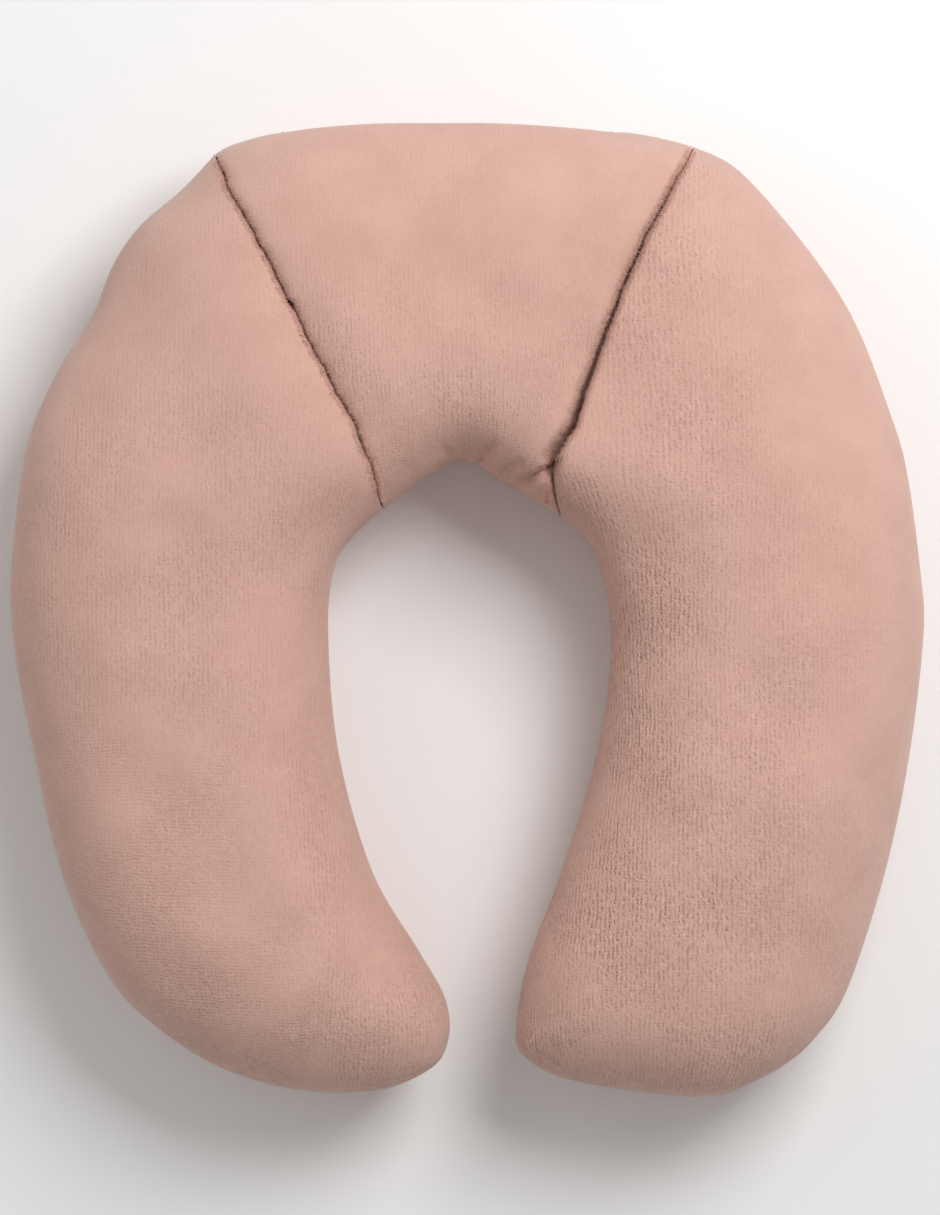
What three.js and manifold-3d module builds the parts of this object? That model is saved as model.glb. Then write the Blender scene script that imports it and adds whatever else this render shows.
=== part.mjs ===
// A U-shaped nursing pillow in three stuffed chambers: a wedge behind the waist and an arm on
// each side of it, sewn together along two fold seams, with a zip along the wedge's back edge.
// Millimetres. +Z is up, +Y runs to the back of the pillow, +X to its right-hand arm.
// The origin is under the middle of the pillow, on the surface it lies on.

import * as THREE from 'three';
import { mergeVertices } from 'three/addons/utils/BufferGeometryUtils.js';
import Module from 'manifold-3d';

const wasm = await Module();
wasm.setup();

// ---- Overall sizes ----
const overallWidth = 560;
const overallLength = 600;
const thickness = 140;
const waistWidth = 174; // widest place of the opening
const centreDepth = 209; // back edge to the front of the wedge, where the waist rests
const tipRise = 37; // how far the inner corner of an arm's end stands off the front edge
const mouthGap = 43; // between the two arms' ends
const waistCentreX = 2; // the sewn shape leans a little to the right
const mouthCentreX = 9;

// ---- Stuffed shape ----
const crownReach = 80; // how far in from its edge a chamber is at full height
const crownSquareness = 2.2; // 2 is an ellipse
const baseFullness = 1.15; // the underside is fuller than the top, then flat where it rests
const foldHalfAngle = THREE.MathUtils.degToRad(10.5); // each side of a fold crease from upright

// ---- Cloth ----
const coverThickness = 3; // plush with its pile
const linerThickness = 1.2;
const layerGap = 0.8;
const panelGap = 0.3; // between a top panel and the base panel sewn to it
const tapeHalfWidth = 3; // fold tape
const tapeHalfThickness = 1;
const tapeEndGap = 7;
const foldClearance = 0.15; // a turning arm past the fold tape's corner

// ---- Zip ----
const zipLeftMargin = 46; // left fold seam to the closed end of the slot in the cover
const zipRightMargin = 55;
const zipBehindCover = 0.8; // the tapes lie flat behind the curve of the cover
const zipTapeReach = 13; // from the middle of the chain to a tape's sewn edge
const zipTapeHalfThickness = 0.4;
const zipTapeEndMargin = 2; // a tape runs this far past the slot
const zipRoomMargin = 2; // liner to the tapes' edges
const sliderRoom = 1.5; // liner to the slider's hidden plate
const coilInner = 0.5; // the two rows of coil stand this far off the middle line
const coilOuter = 3;
const coilHalfDepth = 1.2;
const coilToTape = 0.3;
const topStopInset = 5; // slot's closed end to the top stops
const stopLength = 3;
const stopHalfDepth = 2;
const stopGap = 0.3;

// ---- Slider and pull ----
const sliderLength = 10;
const sliderStartGap = 1.5; // slider to the chain's closed end
const slotClearance = 1; // slider to the slot's lips
const plateThickness = 1.2;
const runningGap = 0.4; // slider to chain and tapes
const flangeGap = 0.9; // a flange past the tape's bead
const flangeWall = 0.8;
const wedgeGap = 0.3; // the wedge to each row of coil
const wedgeLength = 2.5;
const bridgeHalfSpan = 3.8;
const bridgeWall = 0.8;
const bridgeHalfHeight = 0.9;
const pullThickness = 1;
const pullLength = 20;
const pullHalfWidth = 3;
const pullGap = 0.4; // the pull's pin to the plate and the bridge as it turns
const eyeSideGap = 0.7;
const pullTailGap = 2; // the pull's end to the slot's open end

// ---- Care label ----
const labelWidth = 24;
const labelDrop = 34;
const labelThickness = 0.6;
const labelMargin = 33; // right fold seam to the label's middle
const labelGap = 0.5;

// ---- How finely the shape is built ----
const armRings = 16;
const centreRings = 8;
const columns = 10;
const outlineSamples = 240;
const edgeSamples = 80;

// ---- Derived places ----
const halfWidth = overallWidth / 2;
const halfLength = overallLength / 2;
const midHeight = thickness / 2;
const waistFrontY = halfLength - centreDepth;
const tipY = -halfLength + tipRise;
const waistLength = waistFrontY - tipY;
const seamGap = Math.hypot(tapeHalfWidth, tapeHalfThickness) + foldClearance; // end wall to fold line

// A point of the outer edge, in shares of half the width and half the length.
const outer = (x, y) => new THREE.Vector2(x * halfWidth, y * halfLength);

// A point of the waist opening: sideways in shares of half its width, forward in shares of its length.
const waist = (x, forward) =>
  new THREE.Vector2(waistCentreX + (x * waistWidth) / 2, waistFrontY - forward * waistLength);

const armTip = (side) => new THREE.Vector2(mouthCentreX + (side * mouthGap) / 2, tipY);

// ---- Plan outlines ----
// Each fold seam runs from the back edge to the waist opening.
const leftSeam = { outer: outer(-0.55, 0.929), inner: waist(-0.609, 0.082) };
const rightSeam = { outer: outer(0.496, 0.944), inner: waist(0.636, 0.095) };

// An arm's outline runs from the back end of its seam round the outside and the end of the arm,
// and back up the waist opening to the seam's inner end.
const leftArmOutline = [
  leftSeam.outer, outer(-0.736, 0.756), outer(-0.909, 0.449), outer(-0.999, 0.081),
  outer(-0.962, -0.226), outer(-0.885, -0.533), outer(-0.76, -0.778), outer(-0.465, -0.962),
  outer(-0.288, -0.987), outer(-0.126, -0.962), armTip(-1),
  waist(-0.329, 0.864), waist(-0.69, 0.709), waist(-0.928, 0.5), waist(-0.998, 0.293),
  waist(-0.956, 0.188), waist(-0.844, 0.137), leftSeam.inner,
];
const rightArmOutline = [
  rightSeam.outer, outer(0.616, 0.878), outer(0.822, 0.633), outer(0.931, 0.388),
  outer(0.99, 0.081), outer(1.0, -0.042), outer(0.97, -0.287), outer(0.916, -0.533),
  outer(0.828, -0.778), outer(0.636, -0.962), outer(0.511, -0.999), outer(0.235, -0.962),
  armTip(1), waist(0.411, 0.864), waist(0.649, 0.709), waist(0.898, 0.5), waist(0.994, 0.318),
  waist(0.923, 0.188), waist(0.817, 0.137), rightSeam.inner,
];
const backEdge = [
  leftSeam.outer, outer(-0.364, 0.979), outer(-0.124, 0.997), outer(0.073, 0.995),
  outer(0.292, 0.979), rightSeam.outer,
];
const waistEdge = [
  leftSeam.inner, waist(-0.343, 0.033), waist(-0.055, 0), waist(0.212, 0.033),
  waist(0.56, 0.085), rightSeam.inner,
];

// ---- Rails: the two edges of a chamber, moved in by the layers outside it ----
// turn is 1 where the stuffing lies to the left of the way the points run, and -1 to the right.
function insetPoints(controls, samples, turn, inset) {
  const curve = new THREE.SplineCurve(controls);
  const points = [];
  for (let i = 0; i <= samples; i++) {
    const tangent = curve.getTangentAt(i / samples);
    const inward = new THREE.Vector2(-tangent.y, tangent.x).multiplyScalar(turn * inset);
    points.push(curve.getPointAt(i / samples).add(inward));
  }
  return points;
}

// Distance from a fold seam, counted positive on the side of the point given.
function seamPlane(seam, inside) {
  const along = seam.inner.clone().sub(seam.outer).normalize();
  const normal = new THREE.Vector2(-along.y, along.x);
  if (inside.clone().sub(seam.outer).dot(normal) < 0) normal.negate();
  return (point) => point.clone().sub(seam.outer).dot(normal);
}

// Keeps the stretch of a rail that is past every seam's end wall. A station counts samples along
// the outline, so that the same station is the same place on every layer.
function trimRail(points, planes, reach) {
  const past = (point) => Math.min(...planes.map((distance) => distance(point))) - reach;
  const rail = { points: [], stations: [] };
  const keep = (point, station) => {
    rail.points.push(point);
    rail.stations.push(station);
  };
  for (let i = 0; i < points.length; i++) {
    const here = past(points[i]);
    const before = i > 0 ? past(points[i - 1]) : here;
    if (here >= 0 !== before >= 0) {
      const share = before / (before - here);
      keep(points[i - 1].clone().lerp(points[i], share), i - 1 + share);
    }
    if (here >= 0) keep(points[i], i);
  }
  return rail;
}

function alongRail(rail, share) {
  const { points, stations } = rail;
  const station = THREE.MathUtils.lerp(stations[0], stations.at(-1), share);
  const next = stations.findIndex((value, i) => i > 0 && (value >= station || i === stations.length - 1));
  const part = (station - stations[next - 1]) / (stations[next] - stations[next - 1]);
  return points[next - 1].clone().lerp(points[next], part);
}

const wallReach = (inset) => seamGap + inset / Math.cos(foldHalfAngle);

function armRails(controls, tip, turn, seam, inset) {
  const distances = insetPoints(controls, outlineSamples, turn, 0).map((point) => point.distanceTo(tip));
  const pole = distances.indexOf(Math.min(...distances));
  const points = insetPoints(controls, outlineSamples, turn, inset);
  const planes = [seamPlane(seam, points[pole])];
  const outside = trimRail(points.slice(0, pole + 1), planes, wallReach(inset));
  const inside = trimRail(points.slice(pole).reverse(), planes, wallReach(inset));
  return { outside, inside, planes, inset, turn, rings: armRings };
}

function centreRails(inset) {
  const outside = insetPoints(backEdge, edgeSamples, -1, inset);
  const inside = insetPoints(waistEdge, edgeSamples, 1, inset);
  const middle = new THREE.Vector2(0, halfLength - centreDepth / 2);
  const planes = [seamPlane(leftSeam, middle), seamPlane(rightSeam, middle)];
  return {
    outside: trimRail(outside, planes, wallReach(inset)),
    inside: trimRail(inside, planes, wallReach(inset)),
    planes, inset, turn: -1, rings: centreRings,
  };
}

// ---- A chamber's height over its plan ----
function distanceToRail(point, railPoints) {
  const nearest = new THREE.Vector3();
  const target = new THREE.Vector3(point.x, point.y, 0);
  let best = Infinity;
  for (let i = 1; i < railPoints.length; i++) {
    const start = new THREE.Vector3(railPoints[i - 1].x, railPoints[i - 1].y, 0);
    const end = new THREE.Vector3(railPoints[i].x, railPoints[i].y, 0);
    new THREE.Line3(start, end).closestPointToPoint(target, true, nearest);
    best = Math.min(best, nearest.distanceTo(target));
  }
  return best;
}

// Distance in from the nearer edge, rounded off along the middle where the two are equal.
function depthFromEdges(point, rails) {
  const fromOutside = distanceToRail(point, rails.outside.points);
  const fromInside = distanceToRail(point, rails.inside.points);
  return (fromOutside ** -4 + fromInside ** -4) ** -0.25;
}

function heightAt(point, rails) {
  const fullHeight = midHeight - rails.inset;
  const edgeShare = Math.min(1, depthFromEdges(point, rails) / (crownReach - rails.inset));
  const crown = (1 - (1 - edgeShare) ** crownSquareness) ** (1 / crownSquareness);
  const fromWall = Math.min(...rails.planes.map((distance) => distance(point))) - wallReach(rails.inset);
  const climb = Math.max(0, fromWall) / (fullHeight * Math.tan(foldHalfAngle));
  const wall = climb / (1 + climb ** 3) ** (1 / 3);
  return fullHeight * crown * wall;
}

// ---- Solids ----
function toSolid(geometry) {
  geometry.deleteAttribute('normal');
  geometry.deleteAttribute('uv');
  const merged = mergeVertices(geometry);
  const corners = merged.index.array;
  const triangles = [];
  for (let i = 0; i < corners.length; i += 3) {
    const [a, b, c] = corners.slice(i, i + 3);
    if (a !== b && b !== c && c !== a) triangles.push(a, b, c);
  }
  const vertProperties = new Float32Array(merged.attributes.position.array);
  const triVerts = new Uint32Array(triangles);
  return new wasm.Manifold(new wasm.Mesh({ numProp: 3, vertProperties, triVerts }));
}

function toGeometry(solid) {
  const result = solid.getMesh();
  const geometry = new THREE.BufferGeometry();
  geometry.setAttribute('position', new THREE.BufferAttribute(result.vertProperties, 3));
  geometry.setIndex(new THREE.BufferAttribute(result.triVerts, 1));
  return geometry;
}

function boxSolid(low, high) {
  const size = high.map((value, axis) => value - low[axis]);
  const middle = high.map((value, axis) => (value + low[axis]) / 2);
  return toSolid(new THREE.BoxGeometry(...size).translate(...middle));
}

// Rings stand closer together where a chamber closes: at a seam and at an arm's end.
function ringShare(ring, rings) {
  const even = ring / rings;
  return 0.4 * even + 0.3 * (1 - Math.cos(Math.PI * even));
}

const columnShare = (column) => (1 - Math.cos((Math.PI * column) / columns)) / 2;

// A closed pillow between two rails: a top sheet and an underside that meet at mid-height.
function chamberSolid(rails) {
  const top = [];
  const underside = [];
  for (let ring = 0; ring <= rails.rings; ring++) {
    const share = ringShare(ring, rails.rings);
    const start = alongRail(rails.outside, share);
    const end = alongRail(rails.inside, share);
    for (let column = 0; column <= columns; column++) {
      const point = start.clone().lerp(end, columnShare(column));
      const onEdge = ring === 0 || ring === rails.rings || column === 0 || column === columns;
      const height = onEdge ? 0 : heightAt(point, rails);
      const drop = Math.min(baseFullness * height, midHeight - rails.inset);
      top.push(point.x, point.y, midHeight + height);
      underside.push(point.x, point.y, midHeight - drop);
    }
  }
  const sheetSize = top.length / 3;
  const triangles = [];
  const addTriangle = (a, b, c) => {
    const facing = rails.turn > 0 ? [a, b, c] : [a, c, b];
    triangles.push(...facing, ...facing.reverse().map((corner) => corner + sheetSize));
  };
  for (let ring = 0; ring < rails.rings; ring++) {
    for (let column = 0; column < columns; column++) {
      const corner = ring * (columns + 1) + column;
      const ahead = corner + columns + 1;
      addTriangle(corner, ahead, corner + 1);
      addTriangle(corner + 1, ahead, ahead + 1);
    }
  }
  const geometry = new THREE.BufferGeometry();
  geometry.setAttribute('position', new THREE.Float32BufferAttribute([...top, ...underside], 3));
  geometry.setIndex(triangles);
  return toSolid(geometry);
}

const farOut = 2 * Math.max(overallWidth, overallLength, thickness);
const aboveSeam = boxSolid([-farOut, -farOut, midHeight + panelGap / 2], [farOut, farOut, farOut]);
const belowSeam = boxSolid([-farOut, -farOut, -farOut], [farOut, farOut, midHeight - panelGap / 2]);

// ---- Meshes ----
const pillow = new THREE.Group();

function addMesh(parent, name, geometry, look) {
  geometry.computeVertexNormals();
  const mesh = new THREE.Mesh(geometry, new THREE.MeshStandardMaterial(look));
  mesh.name = name;
  parent.add(mesh);
  return mesh;
}

const addSolid = (parent, name, solid, look) => addMesh(parent, name, toGeometry(solid), look);

const plush = { color: 0xd9b0a0, roughness: 0.95, metalness: 0 };
const linerCloth = { color: 0xf2efe9, roughness: 0.9, metalness: 0 };
const fibreFill = { color: 0xfaf9f5, roughness: 1, metalness: 0 };
const tapeCloth = { color: 0xcfa797, roughness: 0.9, metalness: 0 };
const coilPlastic = { color: 0xc99f8f, roughness: 0.5, metalness: 0 };
const zipMetal = { color: 0xb9b6b0, roughness: 0.35, metalness: 1 };
const labelCloth = { color: 0xf7f5f0, roughness: 0.8, metalness: 0 };

// ---- Chambers: cover panels over a liner over the fill ----
const linerInset = coverThickness + layerGap;
const fillInset = linerInset + linerThickness + layerGap;

// room gives the space cut from a layer for the zip, grown by the layers around it.
function addChamber(parent, name, railsAt, cover, room) {
  const layer = (inset, grown) => {
    const solid = chamberSolid(railsAt(inset));
    return room ? solid.subtract(room(grown)) : solid;
  };
  addSolid(parent, `${name}_top_panel`, cover.intersect(aboveSeam), plush);
  addSolid(parent, `${name}_base_panel`, cover.intersect(belowSeam), plush);
  const liner = layer(linerInset, 0).subtract(layer(linerInset + linerThickness, linerThickness));
  addSolid(parent, `${name}_liner_top`, liner.intersect(aboveSeam), linerCloth);
  addSolid(parent, `${name}_liner_base`, liner.intersect(belowSeam), linerCloth);
  addSolid(parent, `${name}_fill`, layer(fillInset, linerThickness + layerGap), fibreFill);
}

const coverShell = (railsAt) => chamberSolid(railsAt(0)).subtract(chamberSolid(railsAt(coverThickness)));

const leftArm = new THREE.Group();
const rightArm = new THREE.Group();
const centre = new THREE.Group();
pillow.add(centre, leftArm, rightArm);

const leftRails = (inset) => armRails(leftArmOutline, armTip(-1), 1, leftSeam, inset);
const rightRails = (inset) => armRails(rightArmOutline, armTip(1), -1, rightSeam, inset);
addChamber(leftArm, 'left_arm', leftRails, coverShell(leftRails));
addChamber(rightArm, 'right_arm', rightRails, coverShell(rightRails));

// ---- Zip sizes that follow from the pieces that run in it ----
const plateNear = coilHalfDepth + runningGap; // from the chain's middle to a plate of the slider
const plateFar = plateNear + plateThickness;
const flangeInner = coilOuter + coilToTape + flangeGap;
const sliderHalfHeight = flangeInner + flangeWall;
const flangeOpening = zipTapeHalfThickness + runningGap;
const wedgeHalfThickness = coilInner - wedgeGap;
const pinReach = (pullThickness / 2) * Math.SQRT2; // the corner of the pull's square pin
const pullPivotDepth = plateFar + pullGap + pinReach;
const bridgeNear = pullPivotDepth + pinReach + pullGap;
const bridgeFar = bridgeNear + bridgeWall;
const eyeLength = Math.hypot(bridgeHalfSpan, bridgeFar - pullPivotDepth) + pullGap;
const eyeHalfWidth = bridgeHalfHeight + eyeSideGap;
const slotHalfHeight = sliderHalfHeight + slotClearance;
const zipRoomBehind = plateFar + sliderRoom;
const zipStartX = leftSeam.outer.x + zipLeftMargin;
const zipEndX = rightSeam.outer.x - zipRightMargin;

// ---- Centre wedge, with a slot for the zip in its back edge ----
// The cover's inner face is met from outside, along the line that each tape is sewn on.
const coverInside = new THREE.Mesh(toGeometry(chamberSolid(centreRails(coverThickness))));
const innerFaceY = [];
for (let i = 0; i <= edgeSamples; i++) {
  const x = THREE.MathUtils.lerp(zipStartX - zipTapeEndMargin, zipEndX + zipTapeEndMargin, i / edgeSamples);
  for (const z of [midHeight - zipTapeReach, midHeight + zipTapeReach]) {
    const ray = new THREE.Raycaster(new THREE.Vector3(x, overallLength, z), new THREE.Vector3(0, -1, 0));
    innerFaceY.push(ray.intersectObject(coverInside)[0].point.y);
  }
}
const zipY = Math.min(...innerFaceY) - zipBehindCover - zipTapeHalfThickness;

const slot = boxSolid(
  [zipStartX, zipY, midHeight - slotHalfHeight],
  [zipEndX, farOut, midHeight + slotHalfHeight],
);
const zipRoom = (grown) => {
  const across = zipTapeReach + zipRoomMargin + grown;
  const ends = zipTapeEndMargin + zipRoomMargin + grown;
  return boxSolid(
    [zipStartX - ends, zipY - zipRoomBehind - grown, midHeight - across],
    [zipEndX + ends, farOut, midHeight + across],
  );
};
addChamber(centre, 'centre', centreRails, coverShell(centreRails).subtract(slot), zipRoom);

// ---- Fold tapes: the sewn strip that an arm folds about ----
function addFoldTape(name, seam) {
  const along = seam.inner.clone().sub(seam.outer);
  const middle = seam.inner.clone().add(seam.outer).multiplyScalar(0.5);
  const length = along.length() - 2 * tapeEndGap;
  const geometry = new THREE.BoxGeometry(length, 2 * tapeHalfWidth, 2 * tapeHalfThickness);
  const tape = addMesh(centre, name, geometry, tapeCloth);
  tape.position.set(middle.x, middle.y, midHeight);
  tape.rotation.z = along.angle();
}
addFoldTape('left_seam_tape', leftSeam);
addFoldTape('right_seam_tape', rightSeam);

// ---- Zip ----
// Everything on the zip is placed from the middle of its chain: x along it, depth outwards, up.
const zip = new THREE.Group();
zip.position.set(0, zipY, midHeight);
centre.add(zip);

function addZipBox(name, low, high, look) {
  const size = high.map((value, axis) => value - low[axis]);
  const middle = high.map((value, axis) => (value + low[axis]) / 2);
  return addMesh(zip, name, new THREE.BoxGeometry(...size).translate(...middle), look);
}

const topStopStart = zipStartX + topStopInset;
const chainStart = topStopStart + stopLength + stopGap;
const bottomStopEnd = zipEndX - pullTailGap - pullLength;
const chainEnd = bottomStopEnd - stopLength - stopGap;
const tapeStart = zipStartX - zipTapeEndMargin;
const tapeEnd = zipEndX + zipTapeEndMargin;

for (const [side, up] of [['upper', 1], ['lower', -1]]) {
  const across = (near, far) => [Math.min(up * near, up * far), Math.max(up * near, up * far)];
  const [tapeLow, tapeHigh] = across(coilOuter + coilToTape, zipTapeReach);
  addZipBox(`zip_tape_${side}`, [tapeStart, -zipTapeHalfThickness, tapeLow],
    [tapeEnd, zipTapeHalfThickness, tapeHigh], tapeCloth);
  const [coilLow, coilHigh] = across(coilInner, coilOuter);
  addZipBox(`zip_coil_${side}`, [chainStart, -coilHalfDepth, coilLow],
    [chainEnd, coilHalfDepth, coilHigh], coilPlastic);
  addZipBox(`zip_top_stop_${side}`, [topStopStart, -stopHalfDepth, coilLow],
    [topStopStart + stopLength, stopHalfDepth, coilHigh], zipMetal);
}
addZipBox('zip_bottom_stop', [bottomStopEnd - stopLength, -stopHalfDepth, -coilOuter],
  [bottomStopEnd, stopHalfDepth, coilOuter], zipMetal);

// ---- Slider: two plates joined by a thin wedge, flanges round the tapes and a bridge ----
const sliderX = chainStart + sliderStartGap + sliderLength / 2;
const sliderEnd = sliderLength / 2;
const sliderBoxes = [
  boxSolid(
    [-sliderEnd, -plateFar, -wedgeHalfThickness],
    [wedgeLength - sliderEnd, plateFar, wedgeHalfThickness],
  ),
  boxSolid([-bridgeHalfSpan, bridgeNear, -bridgeHalfHeight], [bridgeHalfSpan, bridgeFar, bridgeHalfHeight]),
];

// A box across the whole slider: near and far are depths in front of the chain, or behind it.
function addSliderBar(face, near, far, low, high) {
  const depths = [face * near, face * far].sort((a, b) => a - b);
  sliderBoxes.push(boxSolid([-sliderEnd, depths[0], low], [sliderEnd, depths[1], high]));
}
for (const face of [-1, 1]) {
  addSliderBar(face, plateNear, plateFar, -sliderHalfHeight, sliderHalfHeight);
  addSliderBar(face, flangeOpening, plateFar, flangeInner, sliderHalfHeight);
  addSliderBar(face, flangeOpening, plateFar, -sliderHalfHeight, -flangeInner);
  const postX = face * (bridgeHalfSpan - bridgeWall / 2);
  sliderBoxes.push(boxSolid(
    [postX - bridgeWall / 2, plateNear, -bridgeHalfHeight],
    [postX + bridgeWall / 2, bridgeFar, bridgeHalfHeight],
  ));
}
const slider = new THREE.Group();
slider.position.x = sliderX;
zip.add(slider);
addSolid(slider, 'zip_slider_body', sliderBoxes.reduce((whole, box) => whole.add(box)), zipMetal);

// ---- Pull: its pin lies under the bridge and its eye goes round the bridge's post ----
function roundedTab(width, start, end, radius) {
  const shape = new THREE.Shape();
  shape.moveTo(start, -width);
  shape.lineTo(end - radius, -width);
  shape.absarc(end - radius, -width + radius, radius, -Math.PI / 2, 0, false);
  shape.absarc(end - radius, width - radius, radius, 0, Math.PI / 2, false);
  shape.lineTo(start, width);
  shape.closePath();
  return shape;
}

const pullShape = roundedTab(pullHalfWidth, -pullThickness / 2, pullLength, pullHalfWidth * 0.8);
const eye = new THREE.Path();
eye.moveTo(pullThickness / 2, -eyeHalfWidth);
eye.lineTo(pullThickness / 2, eyeHalfWidth);
eye.lineTo(eyeLength, eyeHalfWidth);
eye.lineTo(eyeLength, -eyeHalfWidth);
eye.closePath();
pullShape.holes.push(eye);
const pullExtrusion = { depth: pullThickness, bevelEnabled: false, curveSegments: 5 };
const pullGeometry = new THREE.ExtrudeGeometry(pullShape, pullExtrusion);
pullGeometry.translate(0, 0, -pullThickness / 2).rotateX(Math.PI / 2);
const pull = addMesh(slider, 'zip_pull_tab', pullGeometry, zipMetal);
pull.position.y = pullPivotDepth;

// ---- Care label, blank, hanging from the seam beside the zip ----
const labelX = rightSeam.outer.x - labelMargin;
const overLabel = (point) => Math.abs(point.x - labelX) < labelWidth / 2;
const edgeAtLabel = centreRails(0).outside.points.filter(overLabel);
const labelAlong = edgeAtLabel.at(-1).clone().sub(edgeAtLabel[0]).normalize();
const labelMiddle = edgeAtLabel[Math.floor(edgeAtLabel.length / 2)];
const labelOut = new THREE.Vector2(-labelAlong.y, labelAlong.x).multiplyScalar(labelGap + labelThickness / 2);
const labelGeometry = new THREE.BoxGeometry(labelWidth, labelThickness, labelDrop);
const label = addMesh(centre, 'care_label', labelGeometry, labelCloth);
label.position.set(labelMiddle.x + labelOut.x, labelMiddle.y + labelOut.y, midHeight - labelDrop / 2);
label.rotation.z = labelAlong.angle();

export default pillow;
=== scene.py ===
# %% [markdown]
# # A nursing pillow in three stuffed chambers
#
# The real pillow is a U of short-pile plush, stuffed with polyester fibre. It is sewn as three
# separate bags: a wedge that sits behind the waist, and an arm on each side of it. Two fold seams
# join them, so each arm can fold up or down. A zip in the wedge's back edge opens the cover.
#
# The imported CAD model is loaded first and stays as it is: it says where everything goes, how big it
# is and what moves. Everything below makes the cloth, the zip and the finishes around that frame.

# %% Load the frame
import math

import bmesh
import bpy
import numpy as np
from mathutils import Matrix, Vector
from mathutils.bvhtree import BVHTree


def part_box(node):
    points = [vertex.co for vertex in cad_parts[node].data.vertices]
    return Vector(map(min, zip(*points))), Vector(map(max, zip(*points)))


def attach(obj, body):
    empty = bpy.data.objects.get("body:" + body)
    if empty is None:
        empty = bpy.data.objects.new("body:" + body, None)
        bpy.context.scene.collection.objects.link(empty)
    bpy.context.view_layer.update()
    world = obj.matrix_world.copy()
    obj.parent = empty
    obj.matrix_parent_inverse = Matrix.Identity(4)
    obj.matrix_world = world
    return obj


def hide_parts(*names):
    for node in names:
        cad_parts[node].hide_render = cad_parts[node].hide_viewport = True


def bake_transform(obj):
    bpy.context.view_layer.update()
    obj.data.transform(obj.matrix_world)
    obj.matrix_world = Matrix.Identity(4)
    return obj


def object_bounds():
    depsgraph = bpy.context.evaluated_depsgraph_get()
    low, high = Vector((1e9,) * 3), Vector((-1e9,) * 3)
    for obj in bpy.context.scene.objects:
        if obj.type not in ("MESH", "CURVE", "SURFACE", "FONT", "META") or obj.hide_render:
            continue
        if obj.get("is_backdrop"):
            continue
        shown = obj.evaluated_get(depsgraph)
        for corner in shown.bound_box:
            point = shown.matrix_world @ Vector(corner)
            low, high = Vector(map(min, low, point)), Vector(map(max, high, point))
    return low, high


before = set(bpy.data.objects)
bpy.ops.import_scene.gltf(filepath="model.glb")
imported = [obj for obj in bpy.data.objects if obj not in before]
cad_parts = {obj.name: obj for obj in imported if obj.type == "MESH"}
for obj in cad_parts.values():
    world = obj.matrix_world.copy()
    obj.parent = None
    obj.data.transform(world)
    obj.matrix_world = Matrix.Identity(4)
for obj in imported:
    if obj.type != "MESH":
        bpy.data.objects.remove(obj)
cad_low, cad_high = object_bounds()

# %% [markdown]
# ## Sizes
#
# A pillow maker works from a handful of sizes, so the script does too. Plan shapes are worked out in
# millimetres with numpy, where a whole sheet of points moves in one line, and become metres
# only when a mesh is made.

# %% The pillow's own sizes, in millimetres
MM = 0.001
half_width = 280.0
half_length = 300.0
mid_height = 70.0
waist_width = 174.0
waist_front_y = 91.0
waist_length = 354.0
waist_centre_x = 2.0

crown_reach = 80.0  # from an edge to where the chamber is full
crown_squareness = 2.2
waist_fullness = 34.0  # how much sooner the chambers are full beside the back of the waist opening
waist_full_within = 50.0  # all of it this near, and none of it waist_full_fade further off
waist_full_fade = 110.0
base_fullness = 1.15

plush_thickness = 2.6
liner_inset = 7.0
liner_thickness = 1.2
fill_inset = 9.5


def outer(x, y):
    """A point of the outer edge, in shares of half the width and half the length."""
    return (x * half_width, y * half_length)


def waist(x, forward):
    """A point of the waist opening: sideways in half widths of it, forward in lengths of it."""
    return (waist_centre_x + x * waist_width / 2, waist_front_y - forward * waist_length)


left_seam = (outer(-0.550, 0.929), waist(-0.609, 0.082))
right_seam = (outer(0.496, 0.944), waist(0.636, 0.095))

# %% [markdown]
# ## The outline
#
# Seen from above, each chamber is a loop that starts at the back end of its fold seam, runs round the
# outside and the end of the arm, and comes back up the waist opening. A few points a maker would mark
# on the pattern and a smooth curve through them give a truer line than one exact formula, because the
# stuffing makes the sewn edge wander a little.

# %% Points marked on the pattern
left_outline = [
    left_seam[0], outer(-0.625, 0.854), outer(-0.712, 0.785), outer(-0.774, 0.702),
    outer(-0.820, 0.594), outer(-0.891, 0.491), outer(-0.958, 0.348), outer(-0.984, 0.201),
    outer(-0.998, 0.040), outer(-0.984, -0.114), outer(-0.941, -0.317), outer(-0.905, -0.473),
    outer(-0.853, -0.622), outer(-0.769, -0.769), outer(-0.686, -0.846), outer(-0.580, -0.915),
    outer(-0.475, -0.957), outer(-0.375, -0.979), outer(-0.266, -0.987), outer(-0.160, -0.974),
    outer(-0.065, -0.928), outer(-0.039, -0.875), outer(-0.038, -0.828), outer(-0.054, -0.777),
    outer(-0.106, -0.695), waist(-0.690, 0.709), waist(-0.928, 0.500), waist(-0.998, 0.293),
    waist(-0.956, 0.188), waist(-0.844, 0.137), left_seam[1],
]
right_outline = [
    right_seam[0], outer(0.616, 0.878), outer(0.822, 0.633), outer(0.931, 0.388),
    outer(0.966, 0.265), outer(0.992, 0.081), outer(1.000, -0.042), outer(0.970, -0.287),
    outer(0.916, -0.533), outer(0.831, -0.778), outer(0.762, -0.874), outer(0.712, -0.918),
    outer(0.636, -0.960), outer(0.511, -0.995), outer(0.235, -0.962), outer(0.130, -0.916),
    outer(0.107, -0.868), waist(0.411, 0.864), waist(0.649, 0.709), waist(0.898, 0.500),
    waist(0.994, 0.318), waist(0.923, 0.188), waist(0.817, 0.137), right_seam[1],
]
back_edge = [
    left_seam[0], outer(-0.500, 0.952), outer(-0.364, 0.981), outer(-0.124, 0.997),
    outer(0.073, 0.995), outer(0.292, 0.979), outer(0.420, 0.962), right_seam[0],
]
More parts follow.
